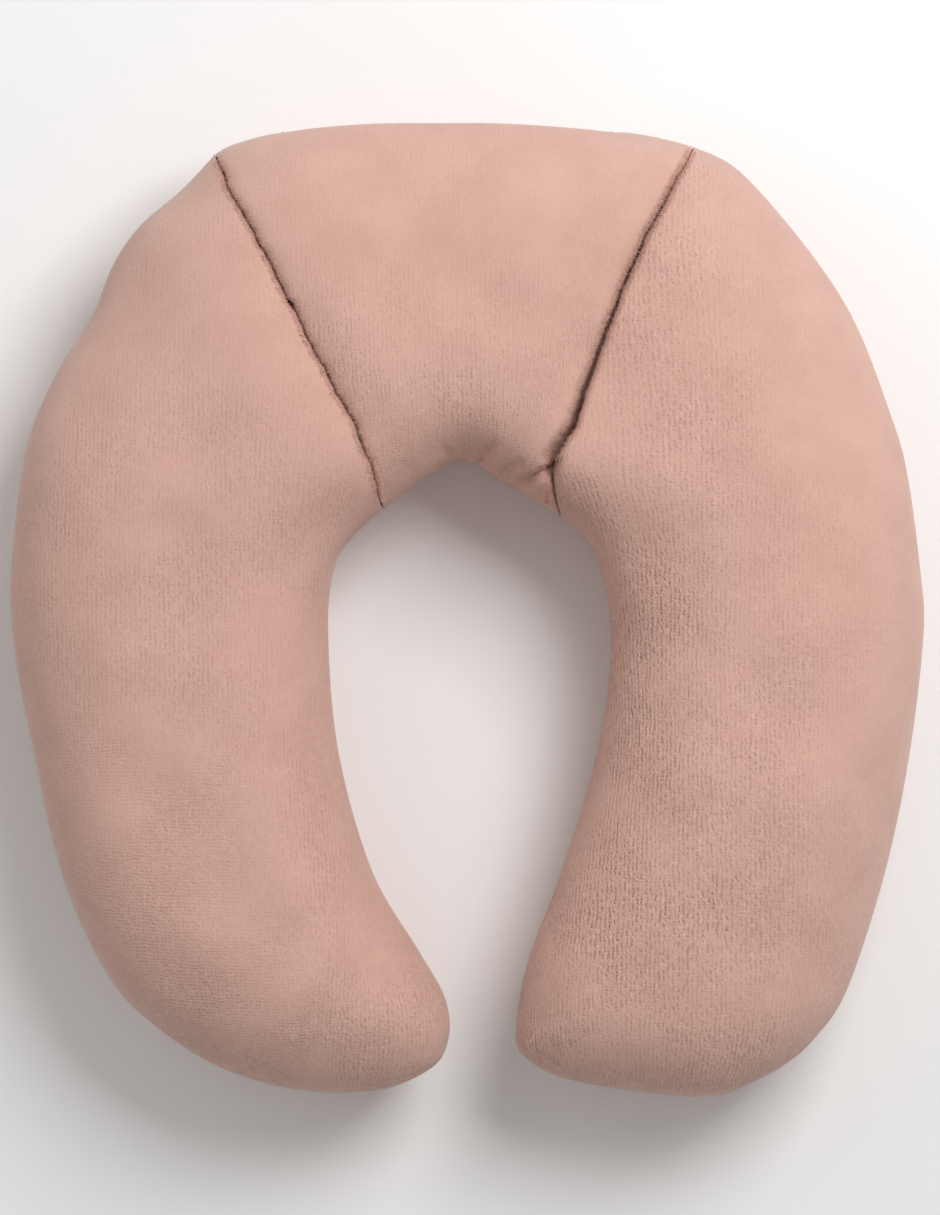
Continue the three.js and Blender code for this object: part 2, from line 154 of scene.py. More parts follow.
waist_edge = [
    left_seam[1], waist(-0.343, 0.033), waist(-0.055, 0.000), waist(0.212, 0.033),
    waist(0.560, 0.085), right_seam[1],
]
left_cap = (outer(-0.475, -0.957), outer(-0.155, -0.615))  # the rounded end starts and stops here
right_cap = (outer(0.655, -0.955), outer(0.165, -0.615))


steps_per_span = 16


def smooth_line(points):
    """A Catmull-Rom curve through the points, as a dense line."""
    given = np.array(points, float)
    padded = np.vstack([given[:1], given, given[-1:]])
    t = np.linspace(0, 1, steps_per_span, endpoint=False)[:, None]
    spans = []
    for before, start, end, after in zip(padded, padded[1:], padded[2:], padded[3:]):
        leave, arrive = (end - before) / 2, (after - start) / 2
        cubic = 2 * start - 2 * end + leave + arrive
        square = 3 * end - 3 * start - 2 * leave - arrive
        spans.append(cubic * t**3 + square * t**2 + leave * t + start)
    return np.vstack([*spans, given[-1:]])


def line_steps(line):
    """Distance along a line at each of its points."""
    return np.r_[0, np.cumsum(np.linalg.norm(np.diff(line, axis=0), axis=1))]


def walk(line, distances):
    """The points of a line at these distances along it."""
    steps = line_steps(line)
    return np.stack([np.interp(distances, steps, line[:, axis]) for axis in (0, 1)], axis=1)


def moved_in(line, inset, turn):
    """The line moved sideways by inset, to its left where turn is 1 and to its right where it is -1."""
    ahead = np.gradient(line, axis=0)
    ahead /= np.linalg.norm(ahead, axis=1)[:, None]
    return line + inset * turn * np.stack([-ahead[:, 1], ahead[:, 0]], axis=1)


def distance_to(points, line):
    """Distance from each point to the line."""
    nearest = np.full(len(points), np.inf)
    for start, end in zip(line[:-1], line[1:]):
        span = end - start
        share = np.clip(((points - start) @ span) / max(span @ span, 1e-9), 0, 1)
        gap = points - start - share[:, None] * span
        nearest = np.minimum(nearest, np.einsum("ij,ij->i", gap, gap))
    return np.sqrt(nearest)


for name, pattern in (("left arm", left_outline), ("right arm", right_outline), ("back edge", back_edge)):
    print(f"{name}: {line_steps(smooth_line(pattern))[-1]:.0f} mm of edge")

# %% [markdown]
# ## The stuffed shape
#
# A stuffed bag is flat at its sewn edge, climbs steeply, and levels off toward its middle. That climb
# is one curve, the crown, worked out from how far a point lies in from the edge. At a fold seam two
# bags press on each other, so each has an upright wall there instead, with a tight roll at its top.
#
# The sheet is a grid of half rows: each runs from a point of the edge to the chamber's spine. Round
# the end of an arm the half rows fan out from one point, like the gores of a hat. Lines are
# closer together where the cloth turns fast, so the mesh is fine where it is looked at.

# %% How finely the sheet is divided
# how far up the crown each line lies, in millimetres
edge_heights = np.array([0, 1.5, 4, 8, 13, 18.5, 24.5, 30.5, 36.5, 42.5, 48, 53, 57.5, 61])
inner_columns = 9  # from there to the spine
row_step = 6.2
wall_rows = (
    (0.0, 0), (0.05, 0.1), (0.13, 0.2), (0.25, 0.3), (0.38, 0.4), (0.5, 0.5), (0.61, 0.6), (0.71, 0.7),
)
roll_reaches = (0.15, 0.5, 1.0, 1.8, 3.0, 4.6, 6.6, 9.0, 12.0, 16.0, 20.5, 25.5, 31.0)
wall_stand_off = 0.4  # two walls pressed together
tape_room = 3.4  # each wall's foot stays clear of the fold tape
wall_fade = 60.0  # how far from a seam an inner layer's step back from it is felt


def crown(depth, reach):
    """Share of the full height at this distance in from the edge."""
    share = np.clip(depth / reach, 0, 1)
    return (1 - (1 - share) ** crown_squareness) ** (1 / crown_squareness)


def depth_for(height):
    """How far in from the edge the crown reaches this height."""
    share = height / mid_height
    return crown_reach * (1 - (1 - share**crown_squareness) ** (1 / crown_squareness))


def smooth(value):
    """0 to 1 with level ends."""
    t = np.clip(value, 0, 1)
    return t * t * (3 - 2 * t)


def roll_share(reach, shoulder):
    """Share of the height at this distance from the top of a fold wall."""
    top, roll, roll_reach, slope_reach = shoulder
    tight = (1 - (1 - np.clip(reach / roll_reach, 0, 1)) ** 2.3) ** (1 / 2.3)
    gentle = 1 - (1 - np.clip(reach / slope_reach, 0, 1)) ** 2.4
    return top + roll * tight + (1 - top - roll) * gentle


# share of the height where the walls meet, share won in the tight roll, its reach, reach of the slope
left_arm_shoulder = (0.87, 0.050, 3.5, 60.0)
centre_left_shoulder = (0.85, 0.095, 6.5, 46.0)
centre_right_shoulder = (0.78, 0.155, 9.0, 46.0)
right_arm_shoulder = (0.82, 0.075, 4.5, 60.0)


def seam_rows(shoulder):
    """(reach from the seam, share of the height, share of the foot's stand-off) for each row of a wall."""
    rows = []
    for share, climb in wall_rows:
        rows.append((wall_stand_off * (0.6 + 0.4 * climb / 0.7), share * shoulder[0] / 0.71 * 0.94, climb))
    for reach in roll_reaches:
        rows.append((wall_stand_off + reach, float(roll_share(reach, shoulder)), 1.0))
    return rows


def rows_to(length, shoulders):
    """The rows of a chamber of this length: reach along it, share of the height and of the stand-off."""
    first = seam_rows(shoulders[0])
    if len(shoulders) == 1:
        even = np.arange(first[-1][0] + row_step, length, row_step)
        even = first[-1][0] + (even - first[-1][0]) * (length - first[-1][0]) / (even[-1] - first[-1][0])
        return first + [(reach, float(roll_share(reach, shoulders[0])), 1.0) for reach in even]
    last = [(length - reach, share, foot) for reach, share, foot in reversed(seam_rows(shoulders[1]))]
    count = int(round((last[0][0] - first[-1][0]) / row_step))
    even = np.linspace(first[-1][0], last[0][0], count + 1)[1:-1]
    middle = []
    for reach in even:
        share = float(roll_share(reach, shoulders[0]) * roll_share(length - reach, shoulders[1]))
        middle.append((reach, share, 1.0))
    return first + middle + last


edge_depths = np.array([depth_for(height) for height in edge_heights])
print(f"{len(edge_depths)} lines climb the first {edge_depths[-1]:.0f} mm of the crown")

# %% [markdown]
# ## Laying out a chamber
#
# One function makes all three chambers and all their layers. A layer is the same sheet with its
# edges moved in, so cover, lining and stuffing sit inside one another without touching. It
# returns the points of the top and of the underside and the faces they share. A second function
# gives the flat pattern: where each point would lie if the cloth were cut and spread out, which is
# what the knit follows.

# %% Chambers as grids of half rows
chambers = {
    "left_arm": dict(
        turn=1, outline=left_outline, cap=left_cap, seams=(left_seam,), shoulders=(left_arm_shoulder,)
    ),
    "right_arm": dict(
        turn=-1, outline=right_outline, cap=right_cap, seams=(right_seam,), shoulders=(right_arm_shoulder,)
    ),
    "centre": dict(
        turn=-1, seams=(left_seam, right_seam), shoulders=(centre_left_shoulder, centre_right_shoulder)
    ),
}


def seam_frame(seam, inside):
    """The seam's outer end, and the direction away from it toward the point inside."""
    start, end = np.array(seam[0]), np.array(seam[1])
    ahead = (end - start) / np.linalg.norm(end - start)
    away = np.array([-ahead[1], ahead[0]])
    if (np.array(inside) - start) @ away < 0:
        away = -away
    return start, ahead, away


def nearest_step(line, point):
    """How far along the line its nearest point to this one is."""
    return line_steps(line)[np.argmin(np.linalg.norm(line - np.array(point), axis=1))]


def rails_of(name):
    """The two edges of a chamber from its first seam, and the line round its end if it has one."""
    chamber = chambers[name]
    if name == "centre":
        return smooth_line(back_edge), smooth_line(waist_edge), None
    loop = smooth_line(chamber["outline"])
    steps = line_steps(loop)
    cap_start, cap_end = (nearest_step(loop, point) for point in chamber["cap"])
    outside = loop[steps <= cap_start + 0.01]
    cap = loop[(steps >= cap_start - 0.01) & (steps <= cap_end + 0.01)]
    inside = loop[steps >= cap_end - 0.01][::-1]
    return outside, inside, cap


def paced(distances, nominal, length):
    """Distances along a rail of another length: the same near both ends, and stretched in between."""
    share = np.clip(distances / nominal, 0, 1)
    return distances + (length - nominal) * smooth(share)


def lay_out(name, inset=0.0):
    """Top and underside of one layer of a chamber, in millimetres."""
    chamber = chambers[name]
    turn = chamber["turn"]
    outside, inside, cap = rails_of(name)
    long_way, short_way = line_steps(outside)[-1], line_steps(inside)[-1]
    nominal = (long_way + short_way) / 2
    rows = rows_to(nominal, chamber["shoulders"])
    reach = np.array([row[0] for row in rows])
    outer_side = moved_in(outside, inset, turn)
    inner_side = moved_in(inside, inset, -turn)
    steps_out = paced(reach, nominal, long_way)
    steps_in = paced(reach, nominal, short_way)
    scale_out = line_steps(outer_side)[-1] / long_way
    scale_in = line_steps(inner_side)[-1] / short_way
    edge_out = walk(outer_side, steps_out * scale_out)
    edge_in = walk(inner_side, steps_in * scale_in)
    spine = (edge_out + edge_in) / 2
    count = len(rows)
    spokes = np.zeros((0, 2))
    if cap is not None:
        inner_cap = moved_in(cap, inset, turn)
        cap_length = line_steps(inner_cap)[-1]
        pieces = int(round(line_steps(cap)[-1] / row_step))
        spokes = walk(inner_cap, np.linspace(0, cap_length, pieces + 1))[1:-1]
    edge = np.vstack([edge_out, spokes, edge_in[::-1]])
    lines = len(edge)
    to_spine = np.array([min(k, lines - 1 - k, count - 1) for k in range(lines)])
    row_share = np.array([rows[k][1] for k in to_spine])
    row_foot = np.array([rows[k][2] for k in to_spine])

    columns = len(edge_depths) + inner_columns
    half = spine[to_spine] - edge
    half_length_here = np.linalg.norm(half, axis=1)
    first = edge_depths[None, :] / half_length_here[:, None]
    rest = np.linspace(0, 1, inner_columns + 2)[1:-1]
    rest = first[:, -1:] + (1 - first[:, -1:]) * rest[None, :]
    shares = np.hstack([first, rest])
    plan = edge[:, None, :] + shares[:, :, None] * half[:, None, :]
    plan = np.vstack([plan.reshape(-1, 2), spine])
    share_of_height = np.r_[np.repeat(row_share, columns), [row[1] for row in rows]]
    foot = np.r_[np.repeat(row_foot, columns), [row[2] for row in rows]]

    if cap is None:
        from_out = distance_to(plan, outer_side)
        from_in = distance_to(plan, inner_side)
    else:
        tip = len(inner_cap) // 2
        from_out = distance_to(plan, np.vstack([outer_side, inner_cap[1 : tip + 1]]))
        from_in = distance_to(plan, np.vstack([inner_cap[tip:-1], inner_side[::-1]]))
    from_out, from_in = np.maximum(from_out, 1e-6), np.maximum(from_in, 1e-6)
    depth = (from_out**-4 + from_in**-4) ** -0.25
    depth[np.minimum(from_out, from_in) < 0.02] = 0
    to_waist = np.linalg.norm(plan - np.array(waist(0, 0)), axis=1)
    sooner = waist_fullness * (1 - smooth((to_waist - waist_full_within) / waist_full_fade))
    fullness = crown(depth, crown_reach - inset - sooner)

    middle = spine[count // 2]
    row_of = np.r_[np.repeat(to_spine, columns), np.arange(count)]
    for at_end, seam in enumerate(chamber["seams"]):
        start, _, away = seam_frame(seam, middle)
        near = row_of < count / 2 if at_end == 0 else row_of >= count / 2
        if cap is not None:
            near = np.ones(len(plan), bool)
        push = tape_room * (1 - smooth(foot / 0.25)) * np.clip(fullness / 0.4, 0, 1)
        fade = np.exp(-(((plan - start) @ away) / wall_fade) ** 2)
        wall_in = inset * np.clip(fullness / 0.2, 0, 1) * fade
        plan[near] += ((push + wall_in)[:, None] * away)[near]
    full = mid_height - inset
    height = full * fullness * share_of_height
    drop = np.minimum(base_fullness * height, full)

    faces = []

    def vertex(line, column):
        return line * columns + column if column < columns else lines * columns + to_spine[line]

    for line in range(lines - 1):
        if to_spine[line] == to_spine[line + 1] and cap is None:
            continue
        for column in range(columns):
            corners = [vertex(line, column), vertex(line + 1, column)]
            corners += [vertex(line + 1, column + 1), vertex(line, column + 1)]
            corners = list(dict.fromkeys(corners))
            faces.append(corners if turn > 0 else corners[::-1])
    rim = np.r_[np.tile(np.arange(columns), lines), np.full(count, columns)] == 0
    rim |= row_of == 0
    if cap is None:
        rim |= row_of == count - 1
    top = np.column_stack([plan, mid_height + height])
    base = np.column_stack([plan, mid_height - drop])
    return dict(
        top=top, base=base, faces=faces, rim=rim, fullness=fullness, columns=columns,
        lines=lines, to_spine=to_spine, foot=foot,
    )


def flat_pattern(grid, sheet):
    """Where each point lies when the cloth is spread out flat: every half row keeps its real length."""
    columns, lines = grid["columns"], grid["lines"]
    points = sheet[: lines * columns].reshape(lines, columns, 3)
    spine = sheet[lines * columns :]
    chain = np.concatenate([points, spine[grid["to_spine"]][:, None, :]], axis=1)[:, ::-1]
    steps = np.diff(chain, axis=1)
    across = steps[:, :, :2]
    whole = chain[:, -1, :2] - chain[:, 0, :2]
    whole /= np.maximum(np.linalg.norm(whole, axis=1), 1e-6)[:, None]
    size = np.linalg.norm(across, axis=2)
    unit = across / np.maximum(size, 1e-9)[:, :, None]
    heading = np.where(size[:, :, None] > 0.05, unit, whole[:, None, :])
    laid = np.cumsum(heading * np.linalg.norm(steps, axis=2)[:, :, None], axis=1)
    laid = chain[:, :1, :2] + laid
    flat = np.zeros((len(sheet), 2))
    flat[: lines * columns] = laid[:, ::-1].reshape(-1, 2)
    flat[lines * columns :] = spine[:, :2]
    return flat


cover_grids = {name: lay_out(name) for name in chambers}
for name, grid in cover_grids.items():
    print(f"{name}: {len(grid['faces'])} faces to a panel, {grid['top'][:, 2].max():.0f} mm high")

# %% [markdown]
# ## Blowing the bags up
#
# Stuffing pushes outward everywhere at once, which is what a cloth simulation with pressure does. The
# closed bag starts a little slack, its sewn edge and the walls of the fold seams are pinned, gravity
# is off, and twenty steps of pressure fill it. How far a point may end up from its start is capped,
# because the pattern already has the right size. A plain subdivision surface would be smooth but
# dead: the simulation is what gives uneven fullness near the seams.

# %% Inflate a closed bag of cloth
cloth_slack = 0.965  # share of the height the bag starts at
cloth_pressure = 4.0
cloth_steps = 20
cloth_cap = 8.0  # mm
cloth_kept = 0.5  # share of the simulated move that is used
cloth_evening = 4  # times that each point's move is averaged with its neighbours'
cloth_still = 8.0  # mm above or below the sewn edge without a sideways move
cloth_free = 40.0  # mm further, where it moves sideways as it likes
cloth_lift = 24.0  # mm above or below the sewn edge, where it rises as it likes
seam_still = 3.0  # mm from a fold seam without a sideways move
seam_free = 22.0


def sealed(grid, top, base):
    """Points and faces of the closed bag: the underside shares its rim with the top."""
    rim = grid["rim"]
    below = np.cumsum(~rim) - 1 + len(top)
    below[rim] = np.flatnonzero(rim)
    faces = [list(face) for face in grid["faces"]]
    faces += [[int(below[corner]) for corner in reversed(face)] for face in grid["faces"]]
    return np.vstack([top, base[~rim]]), faces, below


def mesh_object(name, points, faces):
    """A mesh object at the origin with its place in its mesh, from points in millimetres."""
    mesh = bpy.data.meshes.new(name)
    mesh.from_pydata((np.asarray(points, float) * MM).tolist(), [], [list(map(int, f)) for f in faces])
    mesh.polygons.foreach_set("use_smooth", np.ones(len(mesh.polygons), bool))
    mesh.update()
    made = bpy.data.objects.new(name, mesh)
    bpy.context.scene.collection.objects.link(made)
    return made


def points_of(piece):
    """A mesh object's points in millimetres."""
    found = np.zeros(len(piece.data.vertices) * 3, np.float32)
    piece.data.vertices.foreach_get("co", found)
    return found.reshape(-1, 3).astype(float) / MM


def set_points(piece, points):
    """Puts back a mesh object's points, given in millimetres."""
    piece.data.vertices.foreach_set("co", (np.asarray(points) * MM).astype(np.float32).ravel())
    piece.data.update()


def evened(moved, edges):
    """Averages each point's move with its neighbours' a few times, which takes out tiny wrinkles."""
    for _ in range(cloth_evening):
        total, count = moved.copy(), np.ones(len(moved))
        for one, other in (edges.T, edges.T[::-1]):
            np.add.at(total, one, moved[other])
            np.add.at(count, one, 1)
        moved = total / count[:, None]
    return moved


def off_seams(name, points):
    """0 at a fold seam and 1 further off: a sewn fold holds the cloth in place sideways."""
    free = np.ones(len(points))
    for seam in chambers[name]["seams"]:
        start, _, away = seam_frame(seam, seam[0])
        free *= smooth((np.abs((points[:, :2] - start) @ away) - seam_still) / seam_free)
    return free


def inflated(name, grid):
    """How far the simulation moves each point of the top and of the underside."""
    full_points, faces, below = sealed(grid, grid["top"], grid["base"])
    start = full_points.copy()
    start[:, 2] = mid_height + (start[:, 2] - mid_height) * cloth_slack
    bag = mesh_object(f"{name}_bag", start, faces)
    hold = np.where(grid["foot"] < 1, 1.0, 0.0)
    hold[grid["rim"]] = 1.0
    hold_all = np.r_[hold, hold[~grid["rim"]]]
    pins = bag.vertex_groups.new(name="sewn")
    for vertex in np.flatnonzero(hold_all > 0):
        pins.add([int(vertex)], float(hold_all[vertex]), "REPLACE")
    cloth = bag.modifiers.new("Stuffing pressure", "CLOTH")
    settings = cloth.settings
    settings.vertex_group_mass = "sewn"
    settings.quality = 4
    settings.mass = 0.3
    settings.tension_stiffness = 25
    settings.compression_stiffness = 10
    settings.shear_stiffness = 6
    settings.bending_stiffness = 3
    settings.shrink_min = -0.008
    settings.use_pressure = True
    settings.uniform_pressure_force = cloth_pressure
    settings.effector_weights.gravity = 0
    cloth.point_cache.frame_start = 1
    cloth.point_cache.frame_end = cloth_steps
    for step in range(1, cloth_steps + 1):
        bpy.context.scene.frame_set(step)
    seen = bag.evaluated_get(bpy.context.evaluated_depsgraph_get())
    settled = np.zeros(len(start) * 3, np.float32)
    seen.data.vertices.foreach_get("co", settled)
    moved = settled.reshape(-1, 3) / MM - start
    far = np.linalg.norm(moved, axis=1)
    moved *= (np.minimum(far, cloth_cap) / np.maximum(far, 1e-6))[:, None] * cloth_kept
    moved = evened(moved, np.array([edge.vertices for edge in bag.data.edges]))
    rise = np.abs(start[:, 2] - mid_height)
    moved[:, :2] *= (smooth((rise - cloth_still) / cloth_free) * off_seams(name, start))[:, None]
    moved[:, 2] *= smooth(rise / cloth_lift)
    bpy.data.objects.remove(bag)
    bpy.context.scene.frame_set(1)
    end = start + moved
    change = end - full_points
    print(f"{name}: {len(start)} points, moved {far.max():.1f} mm at most, {far.mean():.1f} mm on average")
    return change[: len(grid["top"])], change[below]


swell = {}
for name, grid in cover_grids.items():
    swell[name] = inflated(name, grid)

# %% [markdown]
# ## Details of the cloth
#
# No two bags are stuffed quite evenly, and the folds never lie quite straight. These are small moves
# of the cloth, each a smooth push that fades away round a line or a place: the bow of each fold, the
# puckers at the waist, where a fold forks, and the soft dip round the zip. Because a push depends
# only on where a point is, it moves cover, lining and stuffing together and nothing pokes through.

# %% The bow of each fold, and how far its lips part
# two rows each: shares of the way along the seam, then millimetres there; a bow is to the right
left_bow = (
    (0, 0.13, 0.24, 0.34, 0.45, 0.60, 0.78, 0.90, 1.0),
    (0, -1.0, 1.5, 2.0, 3.0, 3.8, 6.4, 4.5, 0),
)
right_bow = (
    (0, 0.15, 0.28, 0.40, 0.50, 0.64, 0.78, 0.88, 1.0),
    (0, -5, -9.5, -11.8, -12.3, -12.8, -12.4, -18, -7),
)
left_gape = (
    (0, 0.05, 0.12, 0.25, 0.42, 0.44, 0.46, 0.7, 0.9, 1.0),
    (0.5, 0.9, 0.1, 0.1, 0.1, 1.2, 0.1, 0.1, 0, 0),
)
right_gape = (
    (0, 0.1, 0.3, 0.5, 0.6, 0.7, 0.8, 0.86, 0.90, 0.95, 1.0),
    (0.1, 0.3, 0.5, 1.1, 1.4, 1.8, 2.3, 3.0, 2.3, 0.3, 0.1),
)
bow_reach = 38.0
gape_reach = 4.5


def bowed(points):
    """Leans each fold sideways above and below its sewn line, and lets its lips part a little."""
    moved = points.copy()
    folds = ((left_seam, left_bow, left_gape, 0.42), (right_seam, right_bow, right_gape, 0.22))
    for seam, (shares, bows), (places, gapes), waver in folds:
        start, ahead, away = seam_frame(seam, np.array(seam[0]) + (500, 0))
        length = np.linalg.norm(np.array(seam[1]) - np.array(seam[0]))
        share = (points[:, :2] - start) @ ahead / length
        off = (points[:, :2] - start) @ away
        lift = (points[:, 2] - mid_height) / mid_height
        rise = np.where(lift > 0, smooth((lift - 0.05) / 0.7), 0.5 * smooth((-lift - 0.05) / 0.7))
        jagged = np.sin(share * 43) + np.sin(share * 97 + 1) * np.sin(share * 19)
        jagged = jagged + 0.6 * np.sin(share * 213 + 2)
        bow = np.interp(share, shares, bows) * np.exp(-((off / bow_reach) ** 2))
        bow += waver * jagged * np.exp(-((off / 9) ** 2)) * smooth(share / 0.05) * smooth((1 - share) / 0.05)
        gape = np.interp(share, places, gapes) * np.exp(-((off / gape_reach) ** 2)) * np.sign(off)
        moved[:, :2] += ((bow + gape) * rise)[:, None] * away
    return moved


# %% Pushes along a line, and uneven stuffing
def pressed_in(points, line, depth, widths):
    """Pushes the top down along a line; widths are the push's reach to the line's left and right."""
    path = np.array(line, float)
    best = np.full(len(points), np.inf)
    strength = np.zeros(len(points))
    on_left = np.zeros(len(points), bool)
    steps = line_steps(path)
    for index in range(len(path) - 1):
        span = path[index + 1] - path[index]
        local = points[:, :2] - path[index]
        share = np.clip(local @ span / (span @ span), 0, 1)
        gap = np.linalg.norm(local - share[:, None] * span, axis=1)
        here = (steps[index] + share * (steps[index + 1] - steps[index])) / steps[-1]
        closer = gap < best
        best = np.where(closer, gap, best)
        strength = np.where(closer, np.interp(here, (0, 0.15, 0.6, 1), (0.6, 1, 0.8, 0.0)), strength)
        on_left = np.where(closer, span[0] * local[:, 1] - span[1] * local[:, 0] > 0, on_left)
    lift = (points[:, 2] - mid_height) / mid_height
    width = np.where(on_left, widths[0], widths[1])
    moved = points.copy()
    moved[:, 2] -= depth * strength * np.exp(-((best / width) ** 2)) * smooth((lift - 0.04) / 0.25)
    return moved


def lumps(points, wavelength, height, seed):
    """Gentle unevenness of this wavelength and height, the same on every run."""
    draw = np.random.default_rng(seed)
    total = np.zeros(len(points))
    waves = 14
    for _ in range(waves):
        direction = draw.normal(size=3)
        direction /= np.linalg.norm(direction)
        pitch = wavelength * draw.uniform(0.75, 1.6)
        total += np.cos(points @ direction * 2 * math.pi / pitch + draw.uniform(0, 2 * math.pi))
    return height * total / math.sqrt(waves / 2)


# a line on the cloth, how deep it is pressed, and its reach to the left and to the right of the line
waist_puckers = (
    (((-4, 89), (-10, 94), (-17, 101)), 3.2, (3.2, 2.0)),
    (((5, 89), (12, 95.5), (21, 101.5)), 6.5, (4.2, 1.4)),
    (((20, 82), (26, 87), (34, 91)), 6.0, (1.5, 4.0)),
    (((-31, 76), (-34, 84), (-36, 92)), 2.0, (6.0, 6.0)),
)
fold_fork = (
    (((53, 89), (46, 85), (38, 80.5), (29, 76.5), (24, 74.5)), 13.0, (4.0, 1.3)),
    (((53.5, 88), (54.6, 78), (54.5, 68)), 3.5, (1.6, 3.0)),
)


tape_low, tape_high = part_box("zip_tape_upper")
zip_from, zip_to = tape_low.x / MM + 2, tape_high.x / MM - 2
zip_plane = (tape_low.y + tape_high.y) / 2 / MM
back_line = smooth_line(back_edge)
cover_dip = dict(rest=zip_plane + 3.9, inset=0.0, height=14.0, half_slot=6.0)
liner_dip = dict(rest=zip_plane - 6.3, inset=liner_inset, height=22.0, half_slot=0.0)
fill_dip = dict(rest=zip_plane - 8.8, inset=fill_inset, height=22.0, half_slot=0.0)
zip_side_fullness = 2.4  # the cloth swells a little above and below the dip


def zip_dip(points, dip):
    """Draws the back edge in to rest against the zip, and parts the cover to leave the slot."""
    moved = points.copy()
    window = smooth((points[:, 0] - zip_from + 16) / 30) * smooth((zip_to + 16 - points[:, 0]) / 30)
    part = smooth((points[:, 0] - zip_from + 1.5) / 5) * smooth((zip_to + 1.5 - points[:, 0]) / 5)
    behind = smooth((points[:, 1] - 245) / 30)
    above = points[:, 2] - mid_height
    depth = np.interp(points[:, 0], back_line[:, 0], back_line[:, 1]) - dip["inset"] - dip["rest"]
    fade = np.exp(-((np.abs(above) / dip["height"]) ** 2))
    fuller = zip_side_fullness * np.exp(-(((np.abs(above) - 26) / 16) ** 2))
    moved[:, 1] += (fuller - depth * fade) * window * behind
    spread = dip["half_slot"] * np.exp(-((np.abs(above) / 11) ** 2)) * part * behind
    moved[:, 2] += np.sign(above) * spread
    return moved


def worked(points, dip):
    """All the small moves of the cloth, in the order that a maker's hands and the stuffing make them."""
    shaped = points.copy()
    fade = smooth(np.abs(points[:, 2] - mid_height) / 45)
    uneven = lumps(points, 120, 1.3, seed=5) + lumps(points, 48, 0.45, seed=8)
    away = np.where(points[:, 2] > mid_height, 1.0, -1.0)
    shaped[:, 2] += away * fade * (uneven - 1.0) * np.where(away > 0, 1, 0.25)
    shaped = bowed(shaped)
    for line, depth, widths in waist_puckers + fold_fork:
        shaped = pressed_in(shaped, line, depth, widths)
    shaped = zip_dip(shaped, dip)
    shaped[:, 2] = np.maximum(shaped[:, 2], 0.05)
    return shaped


# %% [markdown]
# ## From a sheet to a cloth panel
#
# Real cloth has two faces and an edge. The sheet is copied inward along its normals by the thickness
# of the plush, and the two copies are joined round the rim, so the panel is one closed solid. Then
# one step of subdivision rounds it, and its rim rolls in to the seam as a sewn edge does.

# %% Shells
corner_reach = 14.0  # mm from a seam's end over which a panel reaches its full thickness
corner_least = 0.12  # share of the thickness at the seam's end
seam_lift = 0.15  # half the gap between the two panels at the sewn edge


def sheet_normals(points, faces):
    """Outward direction at each point of a sheet, from the faces round it."""
    total = np.zeros_like(points)
    for count in (3, 4):
        chosen = np.array([face for face in faces if len(face) == count])
        if len(chosen) == 0:
            continue
        one = points[chosen[:, 2]] - points[chosen[:, 0]]
        two = points[chosen[:, -1]] - points[chosen[:, 1]]
        side = points[chosen[:, 1]] - points[chosen[:, 0]]
        facing = np.cross(one, two) if count == 4 else np.cross(side, one)
        for column in range(count):
            np.add.at(total, chosen[:, column], facing)
    return total / np.maximum(np.linalg.norm(total, axis=1), 1e-9)[:, None]


def rim_edges(faces):
    """The edges that only one face uses, in that face's direction."""
    seen = {}
    for face in faces:
        for a, b in zip(face, face[1:] + face[:1]):
            seen[(a, b)] = True
    return [(a, b) for (a, b) in seen if (b, a) not in seen]


def corner_taper(points, chamber):
    """1 for most of the panel, falling toward the corners where a fold seam meets the edge."""
    taper = np.ones(len(points))
    for seam in chambers[chamber]["seams"]:
        for end in seam:
            from_end = np.linalg.norm(points[:, :2] - np.array(end), axis=1)
            taper = np.minimum(taper, from_end / corner_reach + corner_least)
    return np.clip(taper, 0, 1)


def mapped(piece, name, places):
    """Gives a piece a flat map, from each point's place on it in millimetres."""
    layer = piece.data.uv_layers.new(name=name)
    corners = np.zeros(len(piece.data.loops), np.int32)
    piece.data.loops.foreach_get("vertex_index", corners)
    layer.data.foreach_set("uv", (np.asarray(places)[corners] * MM).astype(np.float32).ravel())
    return piece


def panel(name, chamber, grid, top, base, upper, thickness, dip, levels=0):
    """One cloth panel of a chamber, as a closed shell, in place."""
    closed, closed_faces, below = sealed(grid, top, base)
    normals = sheet_normals(closed, closed_faces)
    sheet = top if upper else base
    facing = normals[: len(top)] if upper else normals[below]
    faces = [face if upper else face[::-1] for face in grid["faces"]]
    outside = sheet.copy()
    outside[grid["rim"], 2] += seam_lift if upper else -seam_lift
    inside = outside - facing * (thickness * corner_taper(sheet, chamber))[:, None]
    inside[grid["rim"], 2] = outside[grid["rim"], 2]
    count = len(sheet)
    shell = list(faces) + [[corner + count for corner in reversed(face)] for face in faces]
    shell += [[b, a, a + count, b + count] for a, b in rim_edges(faces)]
    piece = mesh_object(name, np.vstack([outside, inside]), shell)
    flat = flat_pattern(grid, sheet)
    mapped(piece, "knit", np.vstack([flat, flat]))
    if levels:
        rounding = piece.modifiers.new("Rounded cloth", "SUBSURF")
        rounding.levels = rounding.render_levels = levels
        settle(piece)
    set_points(piece, worked(points_of(piece), dip))
    return piece


def settle(piece):
    """Applies a piece's modifiers, so that its mesh is its real shape."""
    bpy.context.view_layer.update()
    seen = piece.evaluated_get(bpy.context.evaluated_depsgraph_get())
    finished = bpy.data.meshes.new_from_object(seen)
    old = piece.data
    piece.modifiers.clear()
    piece.data = finished
    finished.name = piece.name
    bpy.data.meshes.remove(old)
    return piece


def triangles(piece):
    """How many triangles a mesh has."""
    return sum(len(face.vertices) - 2 for face in piece.data.polygons)


